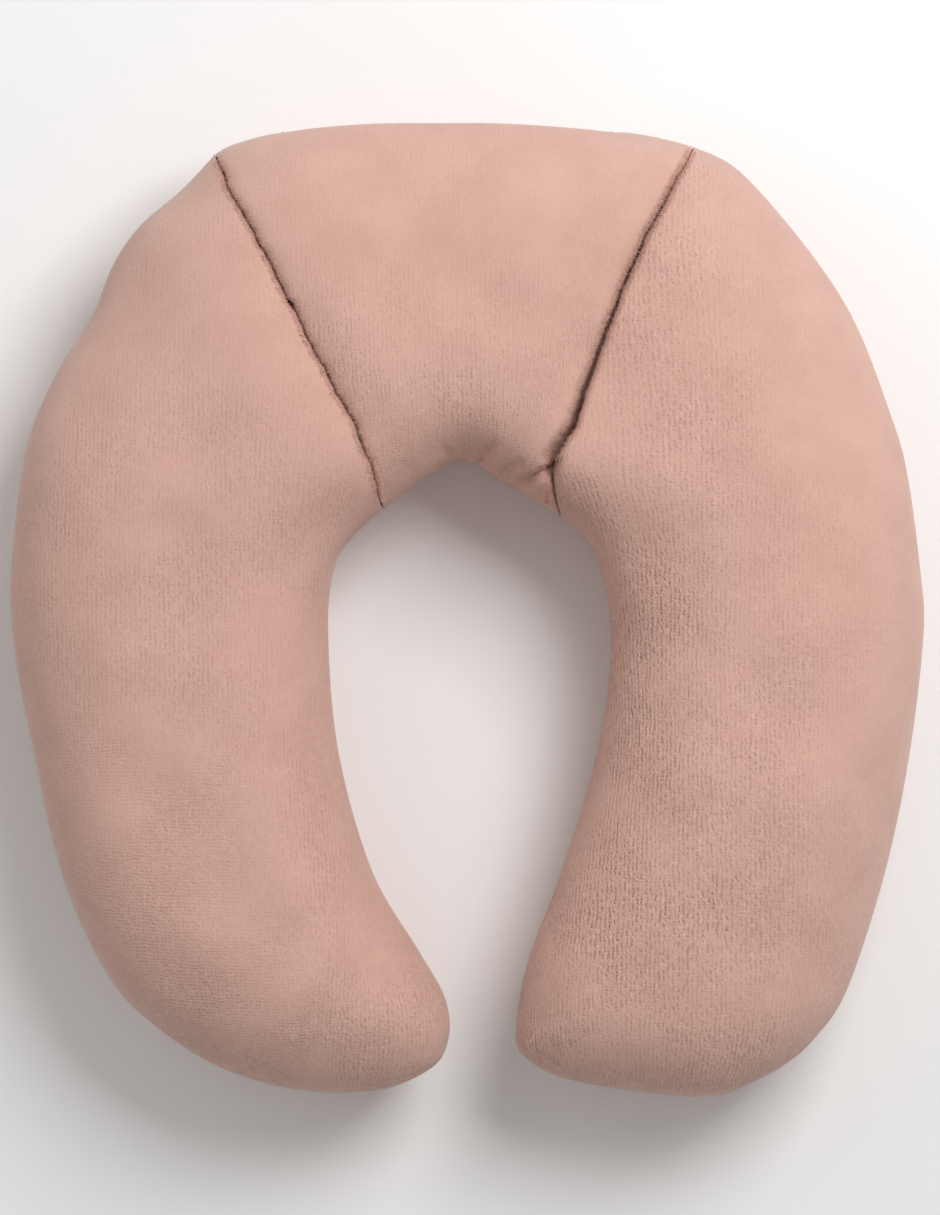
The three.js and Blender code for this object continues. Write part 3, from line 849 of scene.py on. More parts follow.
def nap_and_shade_side_of(chamber, points):
    """How strongly the pile shows, laid out stronger on the sides away from the key light; and where courses
    show, not ribs.
    """
    x, y = points[:, 0], points[:, 1]
    # Laid out stronger on the sides that face away from the key light and weaker on those that face it, so
    # the painted shade and highlights of the pile show more on the shaded sides.
    if chamber == "right_arm":
        nap_and_shade_side = 0.92 - 0.72 * smooth((x - 95 - 0.12 * np.abs(y)) / 170) - 0.36 * smooth((y - 20) / 110)
        return nap_and_shade_side, 0 * nap_and_shade_side
    if chamber == "left_arm":
        nap_and_shade_side = 0.46 - 0.24 * smooth((y - 60) / 110) + 0.06 * smooth(-y / 160) + 0.34 * smooth((-210 - y) / 60)
        return nap_and_shade_side, smooth((-40 - y) / 60) * smooth((-120 - x - 0.25 * y) / 70)
    nap_and_shade_side = 0.14 + 0.62 * smooth((235 - y) / 140)
    return nap_and_shade_side, 0.7 * smooth((125 - y) / 30)


def mark_nap_and_shade_side(piece, chamber):
    """Writes the pile strength, laid out by the side away from the key light, on a cover panel, for its
    finish to read.
    """
    nap_and_shade_side, crosswise = nap_and_shade_side_of(chamber, points_of(piece))
    for name, values in (("nap_and_shade_side", nap_and_shade_side), ("crosswise", crosswise)):
        layer = piece.data.attributes.new(name, "FLOAT", "POINT")
        layer.data.foreach_set("value", np.clip(values, 0, 1.2).astype(np.float32))


covers = {}
for chamber, grid in cover_grids.items():
    top = grid["top"] + swell[chamber][0]
    base = grid["base"] + swell[chamber][1]
    for upper in (True, False):
        side = "top" if upper else "base"
        name = f"{chamber}_cover_{side}"
        fine = 2 if name == "centre_cover_top" else 1  # the waist puckers need finer cloth
        made = panel(name, chamber, grid, top, base, upper, plush_thickness, cover_dip, fine)
        mark_nap_and_shade_side(made, chamber)
        covers[chamber, side] = made
        print(f"{made.name}: {triangles(made)} triangles")

# %% [markdown]
# ## The lining and the stuffing
#
# Under the plush each chamber has a bag of thin white cotton, and in that the fibre. They are the
# same sheet laid out again with its edges further in, and they take the same swell and the same small
# moves as the cover, so the layers nest. The zip pushes them in a little deeper than the cover.

# %% Inner layers
liners = {}
fills = {}
for chamber in chambers:
    grid = lay_out(chamber, liner_inset)
    top = grid["top"] + swell[chamber][0]
    base = grid["base"] + swell[chamber][1]
    for upper in (True, False):
        side = "top" if upper else "base"
        name = f"{chamber}_lining_{side}"
        liners[chamber, side] = panel(name, chamber, grid, top, base, upper, liner_thickness, liner_dip)
    grid = lay_out(chamber, fill_inset)
    points, faces, below = sealed(grid, grid["top"] + swell[chamber][0], grid["base"] + swell[chamber][1])
    fills[chamber] = mesh_object(f"{chamber}_stuffing", worked(points, fill_dip), faces)
    a_panel, inside = triangles(liners[chamber, "top"]), triangles(fills[chamber])
    print(f"{chamber}: lining {a_panel} triangles a panel, stuffing {inside}")

# %% [markdown]
# ## Ribbons
#
# The zip's tapes and the strips in the fold seams are woven ribbon. A ribbon is one narrow section
# carried along a line, with its long edges rounded over, and its pattern runs along it.

# %% Carry a flat section along a line
def ribbon(name, line, across, half_width, half_thickness, columns=6, taper=0.0):
    """A closed woven strip along a line of points in millimetres; taper narrows it near both its ends."""
    line = np.asarray(line, float)
    across = np.asarray(across, float) / np.linalg.norm(across)
    ahead = np.gradient(line, axis=0)
    facing = np.cross(ahead, across)
    facing /= np.linalg.norm(facing, axis=1)[:, None]
    spread = np.linspace(-1, 1, columns)
    bulge = half_thickness * (1 - 0.75 * np.abs(spread) ** 6)
    section = [(s * half_width, b) for s, b in zip(spread, bulge)]
    section += [(s * half_width, -b) for s, b in zip(spread[::-1], bulge[::-1])]
    size = len(section)
    steps = line_steps(line)
    narrow = np.minimum(1, 0.25 + np.minimum(steps, steps[-1] - steps) / max(taper, 0.01))
    points = [p + (across * w + out * t) * n for p, out, n in zip(line, facing, narrow) for w, t in section]
    faces = []
    for ring in range(len(line) - 1):
        for corner in range(size):
            after = (corner + 1) % size
            here, ahead_of = ring * size, (ring + 1) * size
            faces.append([here + corner, here + after, ahead_of + after, ahead_of + corner])
    last = (len(line) - 1) * size
    for column in range(columns - 1):
        near, far = column, size - 1 - column
        faces.append([far, far - 1, near + 1, near])
        faces.append([last + near, last + near + 1, last + far - 1, last + far])
    piece = mesh_object(name, points, faces)
    outward(piece)
    along, sideways = np.repeat(steps, size), np.tile([w for w, _ in section], len(line))
    return mapped(piece, "weave", np.column_stack([along, sideways]))


def outward(piece):
    """Turns a closed mesh's faces outward."""
    shape = bmesh.new()
    shape.from_mesh(piece.data)
    bmesh.ops.recalc_face_normals(shape, faces=shape.faces)
    shape.to_mesh(piece.data)
    shape.free()
    return piece


def node_box(name):
    """A CAD node's lowest and highest corners, in millimetres."""
    low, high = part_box(name)
    return np.array(low) / MM, np.array(high) / MM


ribbons = {}
for side in ("upper", "lower"):
    low, high = node_box(f"zip_tape_{side}")
    x = np.linspace(low[0] - 4, high[0] + 4, 90)
    middle = (low + high) / 2
    line = np.column_stack([x, np.full_like(x, middle[1]), np.full_like(x, middle[2])])
    half = (high - low) / 2
    ribbons[f"zip_tape_{side}"] = ribbon(f"zip_woven_tape_{side}", line, (0, 0, 1), half[2], half[1], 8)
for side, seam in (("left", left_seam), ("right", right_seam)):
    start, end = np.array(seam[0]), np.array(seam[1])
    ahead = (end - start) / np.linalg.norm(end - start)
    share = np.linspace(0, 1, 70)[:, None]
    plan = (start + 1.2 * ahead) * (1 - share) + (end - 1.2 * ahead) * share
    line = np.column_stack([plan, np.full(len(plan), mid_height)])
    across = (-ahead[1], ahead[0], 0)
    ribbons[f"{side}_seam_tape"] = ribbon(f"{side}_fold_tape", line, across, 2.8, 0.8, taper=9.0)
for piece in ribbons.values():
    print(f"{piece.name}: {triangles(piece)} triangles")

# %% [markdown]
# ## Stitches and coil, with Geometry Nodes
#
# A stitch is the same short lump of thread again and again, and a nylon coil is the same bent wire
# again and again. So each is made once and copied along a line by a small node tree with named inputs
# for its sizes. The tree ends by making the copies real and giving them their material, and the
# result is turned into a plain mesh.

# %% Build node trees
coil_lean = math.radians(80)


def tree_with(name, numbers):
    """A new geometry tree with a line coming in, these numbers as inputs, and a material."""
    tree = bpy.data.node_groups.new(name, "GeometryNodeTree")
    tree.interface.new_socket(name="Line", in_out="INPUT", socket_type="NodeSocketGeometry")
    for number, value in numbers.items():
        socket = tree.interface.new_socket(name=number, in_out="INPUT", socket_type="NodeSocketFloat")
        socket.default_value = value
    tree.interface.new_socket(name="Material", in_out="INPUT", socket_type="NodeSocketMaterial")
    tree.interface.new_socket(name="Pieces", in_out="OUTPUT", socket_type="NodeSocketGeometry")
    return tree


def add_node(tree, kind, inputs=None, **settings):
    """Adds a node, sets its settings, and gives each input a value or a link."""
    node = tree.nodes.new(kind)
    for setting, value in settings.items():
        setattr(node, setting, value)
    for key, value in (inputs or {}).items():
        if isinstance(value, bpy.types.NodeSocket):
            tree.links.new(value, node.inputs[key])
        else:
            node.inputs[key].default_value = value
    return node


def end_tree(tree, given, pieces):
    """Gives a tree's pieces their material, and ends the tree with them."""
    inputs = {"Geometry": pieces, "Material": given.outputs["Material"]}
    dressed = add_node(tree, "GeometryNodeSetMaterial", inputs)
    add_node(tree, "NodeGroupOutput", {0: dressed.outputs[0]})


def copies_along(tree, given, shape):
    """Ends a tree: copies of the shape along the line at the pitch, made real, smooth, with material."""
    curve = add_node(tree, "GeometryNodeMeshToCurve", {"Mesh": given.outputs["Line"]})
    even = add_node(
        tree,
        "GeometryNodeResampleCurve",
        {"Curve": curve.outputs[0], "Length": given.outputs["Pitch"]},
        mode="LENGTH",
    )
    tangent = add_node(tree, "GeometryNodeInputTangent")
    aim = add_node(tree, "FunctionNodeAlignRotationToVector", {"Vector": tangent.outputs[0]}, axis="X")
    placed = add_node(
        tree,
        "GeometryNodeInstanceOnPoints",
        {"Points": even.outputs[0], "Instance": shape, "Rotation": aim.outputs[0]},
    )
    real = add_node(tree, "GeometryNodeRealizeInstances", {"Geometry": placed.outputs[0]})
    even_shade = add_node(tree, "GeometryNodeSetShadeSmooth", {0: real.outputs[0]})
    end_tree(tree, given, even_shade.outputs[0])


def stitch_tree():
    """Thread stitches: short rounded lumps, end to end along the line."""
    tree = tree_with("Topstitch", {"Pitch": 0.0032, "Stitch length": 0.0026, "Thread": 0.0006})
    given = add_node(tree, "NodeGroupInput")
    size = add_node(
        tree,
        "ShaderNodeCombineXYZ",
        {0: given.outputs["Stitch length"], 1: given.outputs["Thread"], 2: given.outputs["Thread"]},
    )
    lump = add_node(tree, "GeometryNodeMeshUVSphere", {"Segments": 7, "Rings": 6, "Radius": 0.5})
    shaped = add_node(tree, "GeometryNodeTransform", {"Geometry": lump.outputs[0], "Scale": size.outputs[0]})
    copies_along(tree, given, shaped.outputs[0])
    return tree


def coil_tree():
    """Coil teeth: a flattened loop of nylon wire, leaning a little, again and again along the tape."""
    tree = tree_with("Nylon coil", {"Pitch": 0.0013, "Across": 0.0024, "Depth": 0.0021, "Wire": 0.00055})
    given = add_node(tree, "NodeGroupInput")
    across, depth, wire = (given.outputs[name] for name in ("Across", "Depth", "Wire"))
    size = add_node(tree, "ShaderNodeCombineXYZ", {0: across, 1: depth, 2: 1.0})
    loop = add_node(tree, "GeometryNodeCurvePrimitiveCircle", {"Resolution": 10, "Radius": 0.5})
    flat = add_node(tree, "GeometryNodeTransform", {"Geometry": loop.outputs[0], "Scale": size.outputs[0]})
    leaning = {"Geometry": flat.outputs[0], "Rotation": (0.0, coil_lean, 0.0)}
    stood = add_node(tree, "GeometryNodeTransform", leaning)
    round_wire = add_node(tree, "GeometryNodeCurvePrimitiveCircle", {"Resolution": 5, "Radius": 0.5})
    wire_size = add_node(tree, "ShaderNodeCombineXYZ", {0: wire, 1: wire, 2: wire})
    section = {"Geometry": round_wire.outputs[0], "Scale": wire_size.outputs[0]}
    section = add_node(tree, "GeometryNodeTransform", section)
    sweep = {"Curve": stood.outputs[0], "Profile Curve": section.outputs[0]}
    swept = add_node(tree, "GeometryNodeCurveToMesh", sweep)
    copies_along(tree, given, swept.outputs[0])
    return tree


def fringe_tree():
    """Pile ends: a thin tapered fibre on each point, leaning as the point says and a little astray."""
    tree = tree_with("Pile fringe", {"Length": 0.002, "Root": 0.0002, "Astray": 0.5})
    given = add_node(tree, "NodeGroupInput")
    fibre = add_node(
        tree,
        "GeometryNodeMeshCone",
        {"Vertices": 3, "Radius Bottom": given.outputs["Root"], "Depth": given.outputs["Length"]},
    )
    lean = add_node(tree, "GeometryNodeInputNamedAttribute", {"Name": "lean"}, data_type="FLOAT_VECTOR")
    aim = add_node(tree, "FunctionNodeAlignRotationToVector", {"Vector": lean.outputs[0]}, axis="Z")
    least = add_node(tree, "ShaderNodeMath", {0: given.outputs["Astray"], 1: -1.0}, operation="MULTIPLY")
    turn = add_node(
        tree,
        "FunctionNodeRandomValue",
        {0: least.outputs[0], 1: given.outputs["Astray"], "Seed": 4},
        data_type="FLOAT_VECTOR",
    )
    astray = add_node(tree, "FunctionNodeRotateRotation", {0: aim.outputs[0], 1: turn.outputs[0]})
    size = add_node(tree, "FunctionNodeRandomValue", {2: 0.5, 3: 1.2, "Seed": 9}, data_type="FLOAT")
    placed = add_node(
        tree,
        "GeometryNodeInstanceOnPoints",
        {
            "Points": given.outputs["Line"],
            "Instance": fibre.outputs[0],
            "Rotation": astray.outputs[0],
            "Scale": size.outputs[1],
        },
    )
    real = add_node(tree, "GeometryNodeRealizeInstances", {"Geometry": placed.outputs[0]})
    end_tree(tree, given, real.outputs[0])
    return tree


def grown(name, tree, line, sizes, material, leans=None):
    """Runs a tree on a line of points in millimetres, and returns the result as a plain mesh object."""
    mesh = bpy.data.meshes.new(name)
    edges = [(index, index + 1) for index in range(len(line) - 1)] if leans is None else []
    mesh.from_pydata((np.asarray(line) * MM).tolist(), edges, [])
    if leans is not None:
        layer = mesh.attributes.new("lean", "FLOAT_VECTOR", "POINT")
        layer.data.foreach_set("vector", np.asarray(leans, np.float32).ravel())
    piece = bpy.data.objects.new(name, mesh)
    bpy.context.scene.collection.objects.link(piece)
    maker = piece.modifiers.new("Copies along the line", "NODES")
    maker.node_group = tree
    named = {item.name: item.identifier for item in tree.interface.items_tree if item.in_out == "INPUT"}
    for label, value in sizes.items():
        maker[named[label]] = value
    maker[named["Material"]] = material
    return settle(piece)


stitches = stitch_tree()
coil = coil_tree()
fringe = fringe_tree()
print("trees:", ", ".join(tree.name for tree in (stitches, coil, fringe)))

# %% [markdown]
# ## The plush
#
# Plush is a knit with its loops sheared to a short pile. Up close it has upright ribs about 2.9 mm
# apart, faint courses across them, gaps between the tufts painted darker as shade, tuft tips painted
# lighter as highlights, and patches where the pile lies smoother. The pile, with its painted shade and
# highlights, is laid out stronger on the sides that face away from the key light. All of that follows
# the flat pattern, so the ribs run with the cloth and not straight through it. Soft fibre ends catch
# light at a slant, which is what sheen is for.

# %% Node helpers for finishes
def finish_named(name, roughness, metallic=0.0, sheen=0.0, sheen_roughness=0.5):
    """A new material: its node tree, its shader, and the constants set on the shader itself."""
    made = bpy.data.materials.new(name)
    made.use_nodes = True
    shader = made.node_tree.nodes["Principled BSDF"]
    shader.inputs["Roughness"].default_value = roughness
    shader.inputs["Metallic"].default_value = metallic
    shader.inputs["Sheen Weight"].default_value = sheen
    shader.inputs["Sheen Roughness"].default_value = sheen_roughness
    return made, made.node_tree, shader


def noise(tree, where, scale, detail=2.0):
    """A soft random pattern from 0 to 1; scale is in spots per metre."""
    return add_node(
        tree, "ShaderNodeTexNoise", {"Vector": where, "Scale": scale, "Detail": detail, "Roughness": 0.55}
    ).outputs[0]


def ribs(tree, where, pitch, direction, wander):
    """Parallel waves from 0 to 1, this many metres apart."""
    inputs = {"Vector": where, "Scale": math.pi / 10 / pitch, "Distortion": wander}
    return add_node(
        tree,
        "ShaderNodeTexWave",
        {**inputs, "Detail": 2.0, "Detail Scale": 1.2},
        wave_type="BANDS",
        bands_direction=direction,
        wave_profile="SIN",
    ).outputs[1]


def ranged(tree, value, low, high, to_low=0.0, to_high=1.0):
    """Spreads low..high of a value over to_low..to_high, and clamps it."""
    return add_node(
        tree,
        "ShaderNodeMapRange",
        {"Value": value, "From Min": low, "From Max": high, "To Min": to_low, "To Max": to_high},
        interpolation_type="SMOOTHSTEP",
    ).outputs[0]


def maths(tree, kind, one, two, three=0.0):
    """One arithmetic step."""
    return add_node(tree, "ShaderNodeMath", {0: one, 1: two, 2: three}, operation=kind).outputs[0]


def blended(tree, share, one, two):
    """A colour between two, by a share from 0 to 1."""
    node = add_node(tree, "ShaderNodeMix", {0: share, 6: one, 7: two}, data_type="RGBA")
    return node.outputs[2]


def scaled(tree, where, size):
    """A pattern's coordinates stretched along each axis."""
    return add_node(tree, "ShaderNodeMapping", {"Vector": where, "Scale": size}).outputs[0]


def raised(tree, shader, height, metres):
    """Gives the surface a fine relief of this height."""
    bump = add_node(tree, "ShaderNodeBump", {"Strength": 1.0, "Distance": metres, "Height": height})
    tree.links.new(bump.outputs[0], shader.inputs["Normal"])


# %% Dusty pink plush
rib_pitch = 0.0029
course_pitch = 0.0022
tufts_per_metre = 760.0
plush_light = (0.672, 0.412, 0.332, 1)
plush_deep = (0.560, 0.320, 0.255, 1)
# The gap colour is painted shade between the tufts, and the tip colour is painted highlight on them.
plush_gap_shade = (0.330, 0.175, 0.135, 1)
plush_tip_highlight = (0.800, 0.520, 0.430, 1)


def swayed(tree, flat, moved, spots, reach):
    """Coordinates pushed about by soft noise of this many spots per metre."""
    sway = add_node(tree, "ShaderNodeTexNoise", {"Vector": flat, "Scale": spots, "Detail": 1.0}).outputs[1]
    centred = add_node(tree, "ShaderNodeVectorMath", {0: sway, 1: (0.5, 0.5, 0.5)}, operation="SUBTRACT")
    shift = add_node(tree, "ShaderNodeVectorMath", {0: centred.outputs[0], 3: reach}, operation="SCALE")
    pushed = add_node(tree, "ShaderNodeVectorMath", {0: moved, 1: shift.outputs[0]}, operation="ADD")
    return pushed.outputs[0]


def lines_between(tree, waves):
    """The narrow lows between waves."""
    return maths(tree, "POWER", maths(tree, "SUBTRACT", 1.0, waves), 1.6)


def make_plush():
    """Ribbed velour pile: tufts crossed by courses, painted shade between them, painted highlights on their
    tips.
    """
    made, tree, shader = finish_named("dusty_pink_plush", 0.93, sheen=0.2, sheen_roughness=0.6)
    flat = add_node(tree, "ShaderNodeUVMap", uv_map="knit").outputs[0]
    nap_and_shade_side = add_node(tree, "ShaderNodeAttribute", attribute_name="nap_and_shade_side").outputs["Fac"]
    crosswise = add_node(tree, "ShaderNodeAttribute", attribute_name="crosswise").outputs["Fac"]
    cloth = flat
    for spots, reach in ((9.0, 0.005), (80.0, 0.0030), (380.0, 0.0017)):
        cloth = swayed(tree, flat, cloth, spots, reach)
    upright = ribs(tree, cloth, rib_pitch, "X", 0.35)
    course = ribs(tree, cloth, course_pitch, "Y", 0.6)
    patches = ranged(tree, noise(tree, flat, 14.0, 4.0), 0.34, 0.66, 0.45, 1.25)
    # Pile strength: laid out by the side away from the key light, times random patches; it scales the
    # painted shade, the painted highlights, the flecks and the relief.
    standing_and_shade_side = maths(tree, "MULTIPLY", nap_and_shade_side, patches)
    cells = add_node(
        tree,
        "ShaderNodeTexVoronoi",
        {"Vector": scaled(tree, cloth, (1.0, 0.72, 1.0)), "Scale": tufts_per_metre, "Randomness": 0.9},
        voronoi_dimensions="2D",
    )
    chances = add_node(tree, "ShaderNodeSeparateColor", {0: cells.outputs["Color"]})
    pile = noise(tree, cloth, 1000.0, 2.0)
    broken = maths(tree, "MULTIPLY_ADD", course, 0.55, 0.45)
    across = maths(tree, "MULTIPLY", lines_between(tree, upright), broken)
    along = maths(tree, "MULTIPLY", lines_between(tree, course), 0.55)
    between = add_node(tree, "ShaderNodeMix", {0: crosswise, 2: across, 3: along}, data_type="FLOAT")
    between = between.outputs[0]
    # Painted shade: the gaps between tufts are darkened where the pile is strong.
    shaded_pit = maths(tree, "MULTIPLY", between, ranged(tree, chances.outputs[0], 0.30, 0.85))
    shaded_pit = maths(tree, "MULTIPLY", shaded_pit, standing_and_shade_side)
    # Painted highlight: the tips of some tufts are lightened toward a paler pink.
    tip = maths(tree, "MULTIPLY", ranged(tree, chances.outputs[1], 0.62, 0.95), standing_and_shade_side)
    tip = maths(tree, "MULTIPLY", tip, maths(tree, "SUBTRACT", 1.0, between))
    tone = ranged(tree, noise(tree, flat, 30.0, 5.0), 0.30, 0.70)
    colour = blended(tree, maths(tree, "MULTIPLY", tone, 0.45), plush_light, plush_deep)
    flecked = maths(tree, "MULTIPLY_ADD", standing_and_shade_side, 0.45, 0.15)
    fleck = maths(tree, "MULTIPLY", ranged(tree, pile, 0.30, 0.72), flecked)
    colour = blended(tree, fleck, colour, plush_deep)
    colour = blended(tree, maths(tree, "MULTIPLY", tip, 0.55), colour, plush_tip_highlight)
    colour = blended(tree, maths(tree, "MULTIPLY", shaded_pit, 0.85), colour, plush_gap_shade)
    tree.links.new(colour, shader.inputs["Base Color"])
    roundness = maths(tree, "SUBTRACT", 1.0, cells.outputs["Distance"])
    relief = maths(tree, "MULTIPLY_ADD", roundness, 0.8, maths(tree, "MULTIPLY", upright, 0.28))
    relief = maths(tree, "MULTIPLY_ADD", course, 0.16, relief)
    relief = maths(tree, "MULTIPLY_ADD", chances.outputs[1], 0.38, relief)
    relief = maths(tree, "MULTIPLY", relief, maths(tree, "MULTIPLY_ADD", standing_and_shade_side, 0.9, 0.08))
    relief = maths(tree, "MULTIPLY_ADD", pile, 0.6, relief)
    relief = maths(tree, "MULTIPLY_ADD", shaded_pit, -0.8, relief)
    raised(tree, shader, relief, 0.00045)
    return made


plush = make_plush()

# %% [markdown]
# ## The other finishes
#
# Woven ribbon, cotton lining, fibre, thread, nylon, plated metal and satin each get their own
# weave or grain. Ribbon patterns run along the ribbon's own map. Metal and nylon read the place of the
# piece itself, so a scratch stays where it is when the slider runs.

# %% Cloth, thread and hardware
twill_slant = math.radians(52)


def make_ribbon_weave(name, light, deep, pitch, sheen, roughness):
    """Twill: fine slanting ridges along a ribbon."""
    made, tree, shader = finish_named(name, roughness, sheen=sheen)
    flat = add_node(tree, "ShaderNodeUVMap", uv_map="weave").outputs[0]
    turned = {"Vector": flat, "Rotation": (0, 0, twill_slant)}
    slant = add_node(tree, "ShaderNodeMapping", turned).outputs[0]
    warp = ribs(tree, slant, pitch, "X", 0.2)
    weft = ribs(tree, flat, pitch * 0.8, "X", 0.2)
    woven = maths(tree, "MULTIPLY_ADD", weft, 0.4, warp)
    uneven = ranged(tree, noise(tree, flat, 300.0, 3.0), 0.3, 0.7)
    colour = blended(tree, ranged(tree, woven, 0.2, 1.2, 0.0, 1.0), deep, light)
    colour = blended(tree, maths(tree, "MULTIPLY", uneven, 0.25), colour, deep)
    tree.links.new(colour, shader.inputs["Base Color"])
    raised(tree, shader, woven, 0.00012)
    return made


def make_woven(name, light, deep, pitch, relief):
    """Plain weave on a panel's flat pattern."""
    made, tree, shader = finish_named(name, 0.9, sheen=0.1)
    flat = add_node(tree, "ShaderNodeUVMap", uv_map="knit").outputs[0]
    over = maths(tree, "MULTIPLY", ribs(tree, flat, pitch, "X", 0.3), ribs(tree, flat, pitch, "Y", 0.3))
    colour = blended(tree, ranged(tree, noise(tree, flat, 120.0, 3.0), 0.3, 0.7), light, deep)
    colour = blended(tree, ranged(tree, over, 0.0, 0.6, 0.35, 0.0), colour, deep)
    tree.links.new(colour, shader.inputs["Base Color"])
    raised(tree, shader, over, relief)
    return made


def make_grained(name, light, deep, scale, relief, roughness, metallic=0.0, sheen=0.0):
    """A finish whose grain reads the piece's own place: metal, nylon, thread and loose fibre."""
    made, tree, shader = finish_named(name, roughness, metallic, sheen)
    place = add_node(tree, "ShaderNodeTexCoord").outputs["Object"]
    grain = noise(tree, place, scale, 4.0)
    colour = blended(tree, ranged(tree, grain, 0.3, 0.7), light, deep)
    tree.links.new(colour, shader.inputs["Base Color"])
    raised(tree, shader, grain, relief)
    return made


tape_weave = make_ribbon_weave(
    "pink_woven_tape", (0.60, 0.36, 0.29, 1), (0.42, 0.23, 0.18, 1), pitch=0.0007, sheen=0.15, roughness=0.8
)
label_satin = make_ribbon_weave(
    "label_satin", (0.90, 0.88, 0.84, 1), (0.78, 0.75, 0.70, 1), pitch=0.0004, sheen=0.3, roughness=0.42
)
lining_cotton = make_woven(
    "lining_cotton", (0.86, 0.84, 0.80, 1), (0.74, 0.71, 0.66, 1), pitch=0.0009, relief=0.00015
)
stuffing_fibre = make_grained(
    "stuffing_fibre", (0.93, 0.92, 0.90, 1), (0.80, 0.79, 0.76, 1), 160.0, 0.004, 1.0, sheen=0.4
)
pink_thread = make_grained(
    "pink_thread", (0.66, 0.40, 0.33, 1), (0.48, 0.27, 0.21, 1), 2400.0, 0.0001, 0.7, sheen=0.2
)
coil_nylon = make_grained(
    "coil_nylon", (0.74, 0.48, 0.40, 1), (0.64, 0.40, 0.33, 1), 900.0, 0.00003, 0.38
)
pile_fibre = make_grained(
    "pile_fibre", (0.78, 0.50, 0.41, 1), (0.64, 0.39, 0.315, 1), 700.0, 0.00002, 0.95, sheen=0.2
)
zip_plating = make_grained(
    "zip_plating", (0.70, 0.68, 0.65, 1), (0.52, 0.50, 0.48, 1), 1600.0, 0.00001, 0.30, metallic=1.0
)
cloth_finishes = (plush, tape_weave, label_satin, lining_cotton, stuffing_fibre, pink_thread, pile_fibre)
print("finishes:", ", ".join(made.name for made in (*cloth_finishes, coil_nylon, zip_plating)))

# %% [markdown]
# ## The zip
#
# A closed-end coil zip: two woven tapes, a coil sewn along each, two stops at the closed end, one
# where it begins, a slider, and a pull that swings on it. Small metal parts are pressed and
# tumbled, so no edge is sharp: each copy of a metal node is welded and its edges are bevelled.

# %% Metal parts with rounded edges
def eased(name, node, radius, material):
    """A copy of a CAD node with its edges rounded over by this radius in millimetres."""
    piece = bpy.data.objects.new(name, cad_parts[node].data.copy())
    piece.data.name = name
    bpy.context.scene.collection.objects.link(piece)
    shape = bmesh.new()
    shape.from_mesh(piece.data)
    bmesh.ops.remove_doubles(shape, verts=shape.verts, dist=0.00001)
    bmesh.ops.dissolve_limit(shape, angle_limit=math.radians(1), verts=shape.verts, edges=shape.edges)
    bmesh.ops.recalc_face_normals(shape, faces=shape.faces)
    shape.to_mesh(piece.data)
    shape.free()
    for layer in list(piece.data.uv_layers):
        piece.data.uv_layers.remove(layer)
    piece.data.materials.clear()
    piece.data.materials.append(material)
    rounding = piece.modifiers.new("Tumbled edges", "BEVEL")
    rounding.width = radius * MM
    rounding.segments = 3
    rounding.limit_method = "ANGLE"
    rounding.angle_limit = math.radians(30)
    rounding.harden_normals = True
    piece.data.polygons.foreach_set("use_smooth", np.ones(len(piece.data.polygons), bool))
    return settle(piece)


slider = eased("zip_slider_plated", "zip_slider_body", 0.22, zip_plating)
pull = eased("zip_pull_plated", "zip_pull_tab", 0.2, zip_plating)
stops = {
    node: eased(f"{node}_plated", node, 0.35, zip_plating)
    for node in ("zip_top_stop_upper", "zip_top_stop_lower", "zip_bottom_stop")
}
for piece in (slider, pull, *stops.values()):
    print(f"{piece.name}: {triangles(piece)} triangles")

# %% Coils and the stitching that holds the zip
coil_pitch = 1.3
coil_wire = 0.55
stitch_pitch = 3.2
stitch_length = 2.6
stitch_thread = 0.6
stitches_off_slot = 11.2  # above and below the zip's middle
coils = {}
for side in ("upper", "lower"):
    low, high = node_box(f"zip_coil_{side}")
    middle = (low + high) / 2
    reach = high - low
    line = [(x, middle[1], middle[2]) for x in np.linspace(low[0] + 0.6, high[0] - 0.6, 100)]
    sizes = {"Pitch": coil_pitch * MM, "Wire": coil_wire * MM}
    sizes |= {"Across": (reach[2] + 0.2) * MM, "Depth": (reach[1] - 0.5) * MM}
    coils[side] = grown(f"zip_coil_teeth_{side}", coil, line, sizes, coil_nylon)
    print(f"{coils[side].name}: {triangles(coils[side])} triangles")


def surface_of(piece):
    """A search tree over a piece's faces, to find where a line from outside meets it."""
    return BVHTree.FromObject(piece, bpy.context.evaluated_depsgraph_get())


def met_from(surface, start, heading):
    """Where a line from start, in millimetres, first meets the surface, and the way it faces there."""
    found = surface.ray_cast(Vector(start) * MM, Vector(heading))
    return None if found[0] is None else (np.array(found[0]) / MM, np.array(found[1]))


lip_stitches = {}
for side, up in (("top", 1), ("base", -1)):
    surface = surface_of(covers["centre", side])
    line = []
    for x in np.linspace(zip_from - 4, zip_to + 4, 150):
        found = met_from(surface, (x, 400, mid_height + up * stitches_off_slot), (0, -1, 0))
        if found is not None:
            line.append(found[0] + found[1] * 0.12)
    sizes = {"Pitch": stitch_pitch * MM, "Stitch length": stitch_length * MM, "Thread": stitch_thread * MM}
    lip_stitches[side] = grown(f"zip_topstitch_{side}", stitches, line, sizes, pink_thread)
    print(f"{lip_stitches[side].name}: {triangles(lip_stitches[side])} triangles")

# %% [markdown]
# ## Pile along the folds
#
# Where two plush bags press together, the pile of both lips stands up and crosses the fold, so the fold
# is a soft broken line and not a hard black slot. Short fibres are set along each lip, leaning over
# the fold. Each lip's fibres are one piece, so that they move with the cloth they grow from.

# %% Fringe of pile on each lip of each fold
fringe_step = 0.30  # mm along the fold
fringe_rows = 9
fringe_reach = 4.2  # mm from the fold
fibre_length = 1.9
fibre_root = 0.17
fibre_astray = 0.55  # radians
fringes = {}


